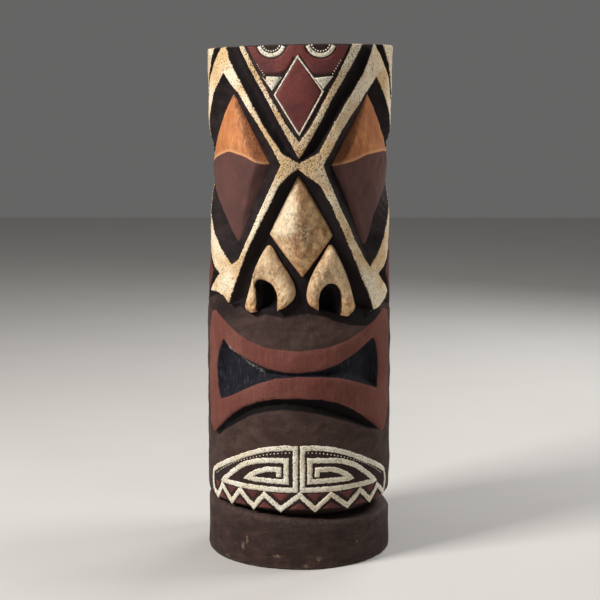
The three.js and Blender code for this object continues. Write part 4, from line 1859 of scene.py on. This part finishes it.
@dataclass(frozen=True)
class BaseFinish:
    """Dark brown stain on worn wood, with scratches, dents and a few pale nicks, and a painted highlight
    along the top edge.
    """

    dark: Colour = tint(38, 26, 24)
    light: Colour = tint(80, 57, 51)
    dust: Colour = tint(104, 86, 78)
    nick: Colour = tint(144, 124, 104)

    def build(self, shared: Shared) -> Material:
        """Builds the material.

        Args:
            shared: the node groups that finishes share.

        Returns:
            The new material.
        """
        coat = Coat("base_wood")
        n = coat.nodes
        grain = n.group(shared.grain, {"Scale": 0.8})
        place = n.place()
        fine = n.noise(place, 700.0, 4.0, 0.7)
        cloud = n.remap(n.noise(n.place(up=2.2), 60.0, 6.0, 0.7), 0.36, 0.68)
        colour = n.glaze(self.dark, self.light, n.plus(0.15, n.times(cloud, 0.6)))
        colour = n.glaze(colour, self.dark, grain["Streaks"], 0.2)
        colour = n.glaze(colour, self.dust, n.remap(fine, 0.55, 0.75), 0.3)
        # Lighter edges: wear, and along the top edge also a painted highlight
        worn = n.times(n.field("worn"), n.remap(fine, 0.45, 0.65))
        colour = n.glaze(colour, self.dust, worn, 0.75)
        scratch = n.remap(n.noise(n.place(0.35, 2.0), 210.0, 5.0, 0.75), 0.62, 0.72)
        colour = n.glaze(colour, self.dust, scratch, 0.55)
        broken = n.times(n.minus(n.noise(place, 420.0, 5.0, 0.8), 0.5), 3.4)
        nicks = n.remap(n.times(n.field("nick"), n.plus(0.7, broken)), 0.3, 0.6)
        colour = n.glaze(colour, self.nick, nicks, 0.6)
        coat.dress(colour, fine, (0.6, 0.85), 0.25)
        height = n.plus(n.times(cloud, 1.2), n.times(fine, 0.4))
        coat.emboss(n.minus(height, n.plus(nicks, scratch)), 0.6, 0.8)
        return coat.material


@dataclass(frozen=True)
class HardwareFinish:
    """Bare peg wood or plain screw steel, for the hidden pieces."""

    name: str
    light: Colour
    dark: Colour
    metallic: float
    roughness: float

    def build(self, shared: Shared) -> Material:
        """Builds the material.

        Args:
            shared: the node groups that finishes share.

        Returns:
            The new material.
        """
        coat = Coat(self.name)
        n = coat.nodes
        grain = n.group(shared.grain, {"Scale": 1.0})
        n.put(coat.shader["Base Color"], n.glaze(self.light, self.dark, grain["Streaks"]))
        low, high = self.roughness - 0.08, self.roughness + 0.08
        n.put(coat.shader["Roughness"], n.remap(grain["Patches"], 0.0, 1.0, (low, high)))
        coat.shader["Metallic"].default_value = self.metallic
        coat.emboss(grain["Streaks"], 0.2, 0.4)
        return coat.material


# ---- The studio ----

@dataclass(frozen=True)
class Lamp:
    """A square area light that faces the figure, with its size in metres and its power in watts."""

    name: str
    place: tuple[float, float, float]
    size: float
    power: float
    colour: tuple[float, float, float]


@dataclass
class Studio:
    """A pale floor, soft lights and the camera, in metres."""

    eye: tuple[float, float, float] = (0.001, -1.4134, 0.4507)
    pitch: float = 8.073
    lens: float = 85.4
    sensor: float = 36.0
    floor_half: float = 4.0
    floor_colours: tuple[Colour, Colour] = (tint(206, 204, 200), tint(214, 212, 208))
    surround: Colour = (0.94, 0.93, 0.92, 1.0)
    surround_strength: float = 0.14
    AIM: ClassVar[tuple[float, float, float]] = (0.0, 0.0, 0.26)
    LAMPS: ClassVar[tuple[Lamp, ...]] = (
        Lamp("key", (-1.25, -0.8, 1.35), 0.5, 37.0, (1.0, 0.97, 0.94)),
        Lamp("fill", (1.0, 0.25, 1.3), 0.5, 9.0, (1.0, 0.97, 0.95)),
        Lamp("back", (0.7, 1.2, 1.1), 0.8, 9.0, (1.0, 1.0, 1.0)),
    )

    def add(self, name: str, data: bpy.types.ID) -> Object:
        """Puts a new object in the scene.

        Args:
            name: its name.
            data: its mesh, light or camera.

        Returns:
            The new object.
        """
        thing = bpy.data.objects.new(name, data)
        bpy.context.collection.objects.link(thing)
        return thing

    def camera(self) -> None:
        """Stands the camera in front of the face, a little above its middle and tipped down."""
        data = bpy.data.cameras.new("camera")
        data.lens = self.lens
        data.sensor_width = self.sensor
        camera = self.add("camera", data)
        camera.location = self.eye
        camera.rotation_euler = (math.radians(90.0 - self.pitch), 0.0, 0.0)
        bpy.context.scene.camera = camera

    def floor(self) -> None:
        """A wide pale floor."""
        h = self.floor_half
        mesh = bpy.data.meshes.new("floor")
        mesh.from_pydata([(-h, -h, 0), (h, -h, 0), (h, h, 0), (-h, h, 0)], [], [(0, 1, 2, 3)])
        coat = Coat("pale_floor")
        n = coat.nodes
        n.put(coat.shader["Base Color"], n.glaze(*self.floor_colours, n.noise(n.place(), 6.0)))
        coat.shader["Roughness"].default_value = 0.8
        mesh.materials.append(coat.material)
        self.add("floor", mesh)

    def light(self, lamp: Lamp) -> None:
        """Adds one lamp.

        Args:
            lamp: its place, size, power and colour.
        """
        data = bpy.data.lights.new(lamp.name, "AREA")
        data.energy = lamp.power
        data.size = lamp.size
        data.color = lamp.colour
        light = self.add(lamp.name, data)
        light.location = lamp.place
        aim = Vector(self.AIM) - Vector(lamp.place)
        light.rotation_euler = aim.to_track_quat("-Z", "Y").to_euler()

    def build(self) -> None:
        """Sets up the whole studio."""
        self.camera()
        self.floor()
        for lamp in self.LAMPS:
            self.light(lamp)
        world = bpy.data.worlds.new("studio")
        world.use_nodes = True
        background = world.node_tree.nodes["Background"].inputs
        background["Color"].default_value = self.surround
        background["Strength"].default_value = self.surround_strength
        bpy.context.scene.world = world
        bpy.context.scene.view_settings.view_transform = "Standard"


def main() -> None:
    """Builds the figure in order."""
    logging.basicConfig(level=logging.INFO, format="%(name)s %(message)s")
    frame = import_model()
    Studio().build()
    log_low, log_high = (np.array(corner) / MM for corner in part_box("carved_log"))
    base_high = np.array(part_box("base")[1]) / MM
    surface = LogSurface(radius=float(log_high[0] - log_low[0]) / 2, top=float(log_high[2]))
    shared = Shared(ragged_edge_group(), grain_group())
    CarvedLog(surface, foot=float(log_low[2])).build(CarvedFinish().build(shared))
    white = StrokeFinish("white_paint", tint(250, 244, 228), tint(230, 216, 188), flecks=0.7).build(shared)
    red = StrokeFinish("red_paint", tint(122, 60, 56), tint(80, 40, 41), flecks=0.4).build(shared)
    chin = ChinPattern(surface)
    chin.spirals(white)
    chin.dots(white)
    chin.zigzag(white)
    chin.teeth(red)
    crown = CrownPattern(surface)
    crown.red(red)
    crown.pale(white)
    eye_finish = EyeFinish().build(shared)
    nose_finish = NoseFinish().build(shared)
    for side in Side:
        EyeBlock(surface, side).build(eye_finish)
        NostrilBlock(surface, side).build(nose_finish)
    NoseBlock(surface).build(nose_finish)
    Base(surface, float(base_high[0]), float(base_high[2])).build(BaseFinish().build(shared))
    peg = HardwareFinish("bare_peg_wood", tint(196, 160, 116), tint(164, 124, 84), 0.0, 0.7).build(shared)
    steel = HardwareFinish("screw_steel", tint(176, 176, 172), tint(150, 150, 148), 1.0, 0.38).build(shared)
    for name, node in frame["nodes"].items():
        if "peg" in name or "spigot" in name or "screw" in name:
            node.material_slots[0].material = steel if "screw" in name else peg


if __name__ == "__main__":
    main()
